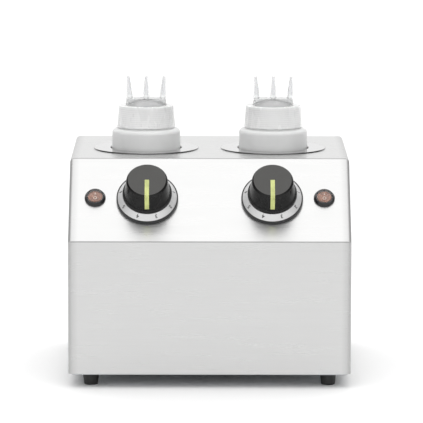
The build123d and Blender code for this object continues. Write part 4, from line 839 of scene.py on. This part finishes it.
class WARMER_OT_dials(bpy.types.Operator):
    """Dial skirts, satin dial rings and their printed figures"""

    bl_idname = "warmer.dials"
    bl_label = "Dials"

    def execute(self, context):
        look = context.scene.warmer_control
        clad(moulded("skirt_black", tuple(look.skirt), 0.42), *[f"dial_skirt_{s}" for s in SIDES])
        clad(self.ring_finish(look), *[f"dial_ring_{s}" for s in SIDES])
        ink = Finish("dial_ink", Roughness=0.5)
        patchy = ink.noise(0.8 * MM, detail=3.0)
        ink.paint(ink.tint(patchy, tuple(look.ink), tuple(c * 2.2 for c in look.ink)))
        ink.bump(patchy, 0.006 * MM, 0.5)
        for side in SIDES:
            self.print_marks(side, look, ink)
        return {"FINISHED"}

    def ring_finish(self, look):
        finish = Finish("dial_aluminium", Metallic=0.45)
        spun = finish.noise(0.4 * MM, detail=5.0)
        dark = tuple(channel * 0.9 for channel in look.dial)
        finish.paint(finish.tint(spun, dark, tuple(look.dial)))
        finish.rough(spun, 0.40, 0.54)
        finish.bump(spun, 0.008 * MM, 0.4)
        return finish

    def print_marks(self, side, look, ink):
        """Figures and ticks laid on the bevelled ring."""
        place = panel_frame(f"knob_{side}_turn")
        outer = half_width(f"dial_ring_{side}")
        slope = Vector((-DIAL_WIDTH, DIAL_RISE)).normalized()
        middle = FIGURE_LINE * math.hypot(DIAL_WIDTH, DIAL_RISE)
        vertices = []
        faces = []

        def lay(points, polygons, turn):
            """Lay flat marks on the cone, turned clockwise from the top."""
            first = len(vertices)
            for across, up, lift in points:
                along = middle - up
                radius = outer + slope[0] * along
                height = DIAL_BASE + slope[1] * along
                angle = math.pi / 2 - turn - across / radius
                radius += lift * slope[1]
                height += lift * -slope[0]
                spot = (radius * math.cos(angle), radius * math.sin(angle), height)
                vertices.append(place @ Vector(spot))
            faces.extend([[first + corner for corner in polygon] for polygon in polygons])

        figure_low = -look.digit_height * 0.5
        low = figure_low - TICK_FAR
        high = figure_low - TICK_NEAR
        corners = [(-TICK_HALF, low), (TICK_HALF, low), (TICK_HALF, high), (-TICK_HALF, high)]
        tick = [(*corner, lift) for lift in (0.0, TICK_LIFT) for corner in corners]
        sides = [[i, (i + 1) % 4, 4 + (i + 1) % 4, 4 + i] for i in range(4)]
        for number in range(look.digit_count):
            turn = look.digit_step * (number + 1)
            lay(*figure(str(number), look.digit_height), turn)
            lay(tick, [[0, 3, 2, 1], [4, 5, 6, 7]] + sides, turn)
        piece = make_piece(f"dial_marks_{side}", vertices, faces, ink, 30.0)
        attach(piece, "root")


def figure(text, height):
    """Points (across, up, lift) and faces of a raised figure, centred on the origin."""
    curve = bpy.data.curves.new("figure", "FONT")
    curve.body = text
    curve.size = height * FIGURE_SIZE
    curve.extrude = FIGURE_THICKNESS
    curve.offset = FIGURE_BOLD
    curve.resolution_u = 3
    curve.align_x = "CENTER"
    curve.align_y = "CENTER"
    holder = bpy.data.objects.new("figure", curve)
    bpy.context.scene.collection.objects.link(holder)
    shaped = bpy.data.meshes.new_from_object(holder.evaluated_get(bpy.context.evaluated_depsgraph_get()))
    points = [(v.co.x, v.co.y, v.co.z + curve.extrude) for v in shaped.vertices]
    polygons = [list(face.vertices) for face in shaped.polygons]
    bpy.data.meshes.remove(shaped)
    bpy.data.objects.remove(holder)
    bpy.data.curves.remove(curve)
    return points, polygons


class WARMER_OT_knobs(bpy.types.Operator):
    """Satin black knobs with their lime pointers"""

    bl_idname = "warmer.knobs"
    bl_label = "Knobs"

    def execute(self, context):
        look = context.scene.warmer_control
        clad(self.knob_finish(look), *[f"knob_{side}" for side in SIDES])
        lime = moulded("pointer_lime", tuple(look.pointer), 0.38, grain=0.5 * MM, depth=0.006 * MM)
        clad(lime, *[f"pointer_{side}" for side in SIDES])
        return {"FINISHED"}

    def knob_finish(self, look):
        finish = moulded("knob_black", tuple(look.knob), 0.26, grain=0.45 * MM, depth=0.008 * MM)
        finish.shader.inputs["IOR"].default_value = 1.33
        # the front face is painted a lighter grey than the sides: partly its spark grain, partly painted
        # light from overhead
        normal = finish.node("ShaderNodeNewGeometry").outputs["True Normal"]
        facing = finish.node("ShaderNodeVectorMath", operation="DOT_PRODUCT")
        facing.inputs[1].default_value = PANEL_NORMAL
        finish.link(normal, facing.inputs[0])
        front = finish.range(facing.outputs["Value"], 0.0, 1.0, 0.93, 0.995)
        spark = finish.noise(0.7 * MM, detail=5.0)
        grey = finish.tint(spark, tuple(c * 0.86 for c in look.knob_face), tuple(look.knob_face))
        finish.paint(finish.mix(front, finish.painted(), grey))
        blur = finish.shader.inputs["Roughness"]
        duller = finish.math("MULTIPLY", front, 0.22)
        finish.link(finish.math("ADD", blur.links[0].from_socket, duller), blur)
        return finish


class WARMER_OT_switches(bpy.types.Operator):
    """Black bezels, amber rockers with pale marks, and clear covers"""

    bl_idname = "warmer.switches"
    bl_label = "Switches"

    def execute(self, context):
        look = context.scene.warmer_control
        clad(moulded("bezel_black", tuple(look.skirt), 0.30), *[f"switch_body_{s}" for s in SIDES])
        clad(self.lens_finish(look), *[f"rocker_{s}" for s in SIDES])
        clad(self.cover_finish(), *[f"switch_cover_{s}" for s in SIDES])
        pale = moulded("lens_mark", tuple(look.lens_mark), 0.35, grain=0.3 * MM, depth=0.004 * MM)
        for side in SIDES:
            self.make_marks(side, pale)
        return {"FINISHED"}

    def make_marks(self, side, finish):
        """Raised bar and ring on the domed rocker, for on and off."""
        joint = f"rocker_{side}_press"
        tilt = -math.radians(sum(JOINTS[joint]["range_deg"])) / 2
        place = panel_frame(joint) @ Matrix.Rotation(tilt, 4, "X")
        vertices = []
        faces = []

        def lay(outline, closed_inner=None):
            """Raise a flat outline, or the band between two, off the dome."""
            first = len(vertices)
            loops = [outline] + ([closed_inner] if closed_inner else [])
            count = len(outline)
            for lift in (-MARK_SINK, MARK_LIFT):
                for loop in loops:
                    for x, y in loop:
                        fall = ROCKER_DOME * (x * x + y * y) / ROCKER_RADIUS ** 2
                        height = ROCKER_CROWN - fall + lift
                        vertices.append(place @ Vector((x, y, height)))
            top = first + count * len(loops)
            for i in range(count):
                j = (i + 1) % count
                faces.append([first + i, first + j, top + j, top + i])
                if closed_inner:
                    faces.append([first + count + j, first + count + i, top + count + i, top + count + j])
                    faces.append([top + i, top + j, top + count + j, top + count + i])
            if not closed_inner:
                faces.append([top + i for i in range(count)])

        lay([(-BAR_HALF, BAR_LOW), (BAR_HALF, BAR_LOW), (BAR_HALF, BAR_HIGH), (-BAR_HALF, BAR_HIGH)])
        angles = [2 * math.pi * step / RING_SEGMENTS for step in range(RING_SEGMENTS)]
        lay(*[[(r * math.cos(a), RING_PLACE + r * math.sin(a)) for a in angles] for r in RING_RADII])
        piece = make_piece(f"switch_marks_{side}", vertices, faces, finish, 40.0)
        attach(piece, f"rocker_{side}")

    def lens_finish(self, look):
        finish = Finish("amber_lens", Transmission_Weight=0.15, IOR=1.49, Coat_Weight=0.5)
        cloud = finish.noise(4 * MM, detail=4.0)
        deep = (look.lens[0] * 0.5, look.lens[1] * 0.38, look.lens[2] * 0.35)
        finish.paint(finish.tint(cloud, deep, tuple(look.lens)))
        finish.rough(cloud, 0.16, 0.3)
        finish.bump(finish.cells(1.2 * MM), 0.06 * MM, 0.4)
        return finish

    def cover_finish(self):
        finish = Finish("clear_cover", Transmission_Weight=1.0, IOR=1.42)
        haze = finish.noise(3 * MM, detail=3.0)
        finish.paint(finish.tint(haze, (0.90, 0.86, 0.83), (0.97, 0.95, 0.93)))
        finish.rough(haze, 0.03, 0.12)
        finish.bump(haze, 0.03 * MM, 0.3)
        return finish


class WARMER_OT_works(bpy.types.Operator):
    """Finishes on the gland, the heating and the wiring"""

    bl_idname = "warmer.works"
    bl_label = "Works"

    def execute(self, context):
        look = context.scene.warmer_rubber
        steel = context.scene.warmer_steel
        nylon = moulded("black_nylon", tuple(look.nylon), 0.40, depth=0.02 * MM)
        clad(nylon, "cable_gland", "gland_nut", "gland_locknut")
        clad(moulded("seal_rubber", tuple(look.foot), 0.6), "gland_seal")
        pale = moulded("pale_nylon", tuple(look.pale_nylon), 0.45)
        clad(pale, "terminal_block", *self.both("thermostat", "cutout"))
        fasteners = ("foot", "base", "rear", "bridge", "band_clamp", "thermostat")
        screws = self.metal("zinc_screw", tuple(steel.zinc), 0.36)
        clad(screws, *[f"{place}_screws" for place in fasteners])
        clad(screws, "foot_nuts", "cup_nuts", "earth_stud", *self.both("thermostat_shaft"))
        clad(self.metal("heater_sheath", (0.45, 0.43, 0.40), 0.45), *self.both("band_heater"))
        clad(self.metal("copper", tuple(look.copper), 0.32), "terminal_screws", *self.both("sensor"))
        clad(self.wool(look), *self.both("insulation"))
        clad(moulded("wire_sleeve", tuple(look.sleeve), 0.5), *self.both("leads"))
        clad(moulded("earth_sleeve", (0.20, 0.33, 0.04), 0.5), "earth_lead")
        return {"FINISHED"}

    def both(self, *names):
        return [f"{name}_{side}" for name in names for side in SIDES]

    def metal(self, name, tone, roughness):
        finish = Finish(name, Metallic=1.0, Roughness=roughness)
        tarnish = finish.noise(4 * MM, detail=5.0)
        dark = tuple(channel * 0.72 for channel in tone)
        finish.paint(finish.tint(tarnish, dark, tone))
        finish.rough(tarnish, roughness - 0.08, roughness + 0.12)
        finish.bump(finish.noise(0.4 * MM, (1, 1, 6), detail=3.0), 0.015 * MM, 0.4)
        return finish

    def wool(self, look):
        finish = Finish("glass_wool", Roughness=0.95, Sheen_Weight=0.3)
        fibres = finish.noise(0.8 * MM, (1, 1, 7), detail=8.0, roughness=0.75)
        dark = tuple(channel * 0.7 for channel in look.wool)
        finish.paint(finish.tint(fibres, dark, tuple(look.wool)))
        finish.bump(fibres, 0.6 * MM, 0.8)
        return finish


class WARMER_OT_stage(bpy.types.Operator):
    """Pale floor, soft lights and the camera"""

    bl_idname = "warmer.stage"
    bl_label = "Stage"

    def execute(self, context):
        look = context.scene.warmer_stage
        scene = context.scene
        scene.view_settings.view_transform = "Standard"
        self.make_floor(look)
        self.make_world(scene, look)
        self.hang_lamp()
        self.make_camera(scene, look)
        return {"FINISHED"}

    def make_floor(self, look):
        turns = ((-1, -1), (1, -1), (1, 1), (-1, 1))
        corners = [(x * FLOOR_REACH, y * FLOOR_REACH, 0) for x, y in turns]
        finish = Finish("pale_floor", Roughness=0.7)
        mottle = finish.noise(400 * MM, detail=3.0)
        tone = tuple(look.floor)
        finish.paint(finish.tint(mottle, tuple(channel * 0.99 for channel in tone), tone))
        floor = make_piece("floor", corners, [(0, 1, 2, 3)], finish)

    def make_world(self, scene, look):
        world = bpy.data.worlds.new("studio")
        world.use_nodes = True
        tree = world.node_tree
        sky = tree.nodes["Background"]
        sky.inputs["Strength"].default_value = look.sky
        heading = tree.nodes.new("ShaderNodeTexCoord")
        parts = tree.nodes.new("ShaderNodeSeparateXYZ")
        tree.links.new(heading.outputs["Generated"], parts.inputs["Vector"])
        sideways = tree.nodes.new("ShaderNodeMath")
        sideways.operation = "ABSOLUTE"
        tree.links.new(parts.outputs["X"], sideways.inputs[0])
        sides = self.grade(tree, sideways.outputs["Value"], SIDE_FADE, (1.0, look.side_tone))
        above = self.grade(tree, parts.outputs["Z"], HEIGHT_FADE, (look.horizon, 1.0))
        both = tree.nodes.new("ShaderNodeVectorMath")
        both.operation = "MULTIPLY"
        tree.links.new(sides, both.inputs[0])
        tree.links.new(above, both.inputs[1])
        tree.links.new(both.outputs["Vector"], sky.inputs["Color"])
        scene.world = world

    def grade(self, tree, amount, places, tones):
        """Grey that runs between two tones as amount runs between two places."""
        ramp = tree.nodes.new("ShaderNodeValToRGB")
        for element, place, tone in zip(ramp.color_ramp.elements, places, tones):
            element.position = place
            element.color = (tone, tone, tone, 1.0)
        tree.links.new(amount, ramp.inputs["Fac"])
        return ramp.outputs["Color"]

    def hang_lamp(self):
        data = bpy.data.lights.new("overhead", "AREA")
        data.shape = "RECTANGLE"
        data.size, data.size_y = LAMP_SIZE
        data.energy = LAMP_POWER
        lamp = bpy.data.objects.new("overhead", data)
        lamp.location = LAMP_PLACE
        lamp.rotation_euler = (Vector(LAMP_AIM) - lamp.location).to_track_quat("-Z", "Y").to_euler()
        bpy.context.scene.collection.objects.link(lamp)

    def make_camera(self, scene, look):
        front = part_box("casing_shell")[0].y
        data = bpy.data.cameras.new("camera")
        data.lens = look.lens
        data.clip_end = CAMERA_REACH
        camera = bpy.data.objects.new("camera", data)
        camera.location = (look.sideways, front - look.distance, look.height)
        level = Euler((math.pi / 2 - look.pitch, 0, -look.yaw), "XYZ").to_matrix()
        camera.rotation_euler = (level @ Matrix.Rotation(look.roll, 3, "Z")).to_euler()
        scene.collection.objects.link(camera)
        scene.camera = camera


class WARMER_PT_parts(bpy.types.Panel):
    """Shows the warmer's steps as buttons and its looks as settings"""

    bl_label = "Sauce bottle warmer"
    bl_idname = "WARMER_PT_parts"
    bl_space_type = "VIEW_3D"
    bl_region_type = "UI"
    bl_category = "Warmer"

    def draw(self, context):
        for operator in OPERATORS:
            self.layout.operator(operator.bl_idname)
        for key, group in GROUPS.items():
            box = self.layout.box()
            box.label(text=group.__doc__)
            for setting in group.__annotations__:
                box.prop(getattr(context.scene, key), setting)


OPERATORS = (
    WARMER_OT_casing,
    WARMER_OT_feet,
    WARMER_OT_wells,
    WARMER_OT_bottles,
    WARMER_OT_caps,
    WARMER_OT_dials,
    WARMER_OT_knobs,
    WARMER_OT_switches,
    WARMER_OT_works,
    WARMER_OT_stage,
)
GROUPS = {
    "warmer_steel": WarmerSteelLook,
    "warmer_control": WarmerControlLook,
    "warmer_bottle": WarmerBottleLook,
    "warmer_rubber": WarmerRubberLook,
    "warmer_stage": WarmerStageLook,
}


def register():
    for group in GROUPS.values():
        bpy.utils.register_class(group)
    for key, group in GROUPS.items():
        setattr(bpy.types.Scene, key, PointerProperty(type=group))
    for operator in OPERATORS:
        bpy.utils.register_class(operator)
    bpy.utils.register_class(WARMER_PT_parts)


def unregister():
    bpy.utils.unregister_class(WARMER_PT_parts)
    for operator in reversed(OPERATORS):
        bpy.utils.unregister_class(operator)
    for key in GROUPS:
        delattr(bpy.types.Scene, key)
    for group in reversed(GROUPS.values()):
        bpy.utils.unregister_class(group)


def main():
    register()
    for operator in OPERATORS:
        family, action = operator.bl_idname.split(".")
        if getattr(getattr(bpy.ops, family), action)() != {"FINISHED"}:
            raise RuntimeError(f"{operator.bl_idname} did not finish")


if __name__ == "__main__":
    main()
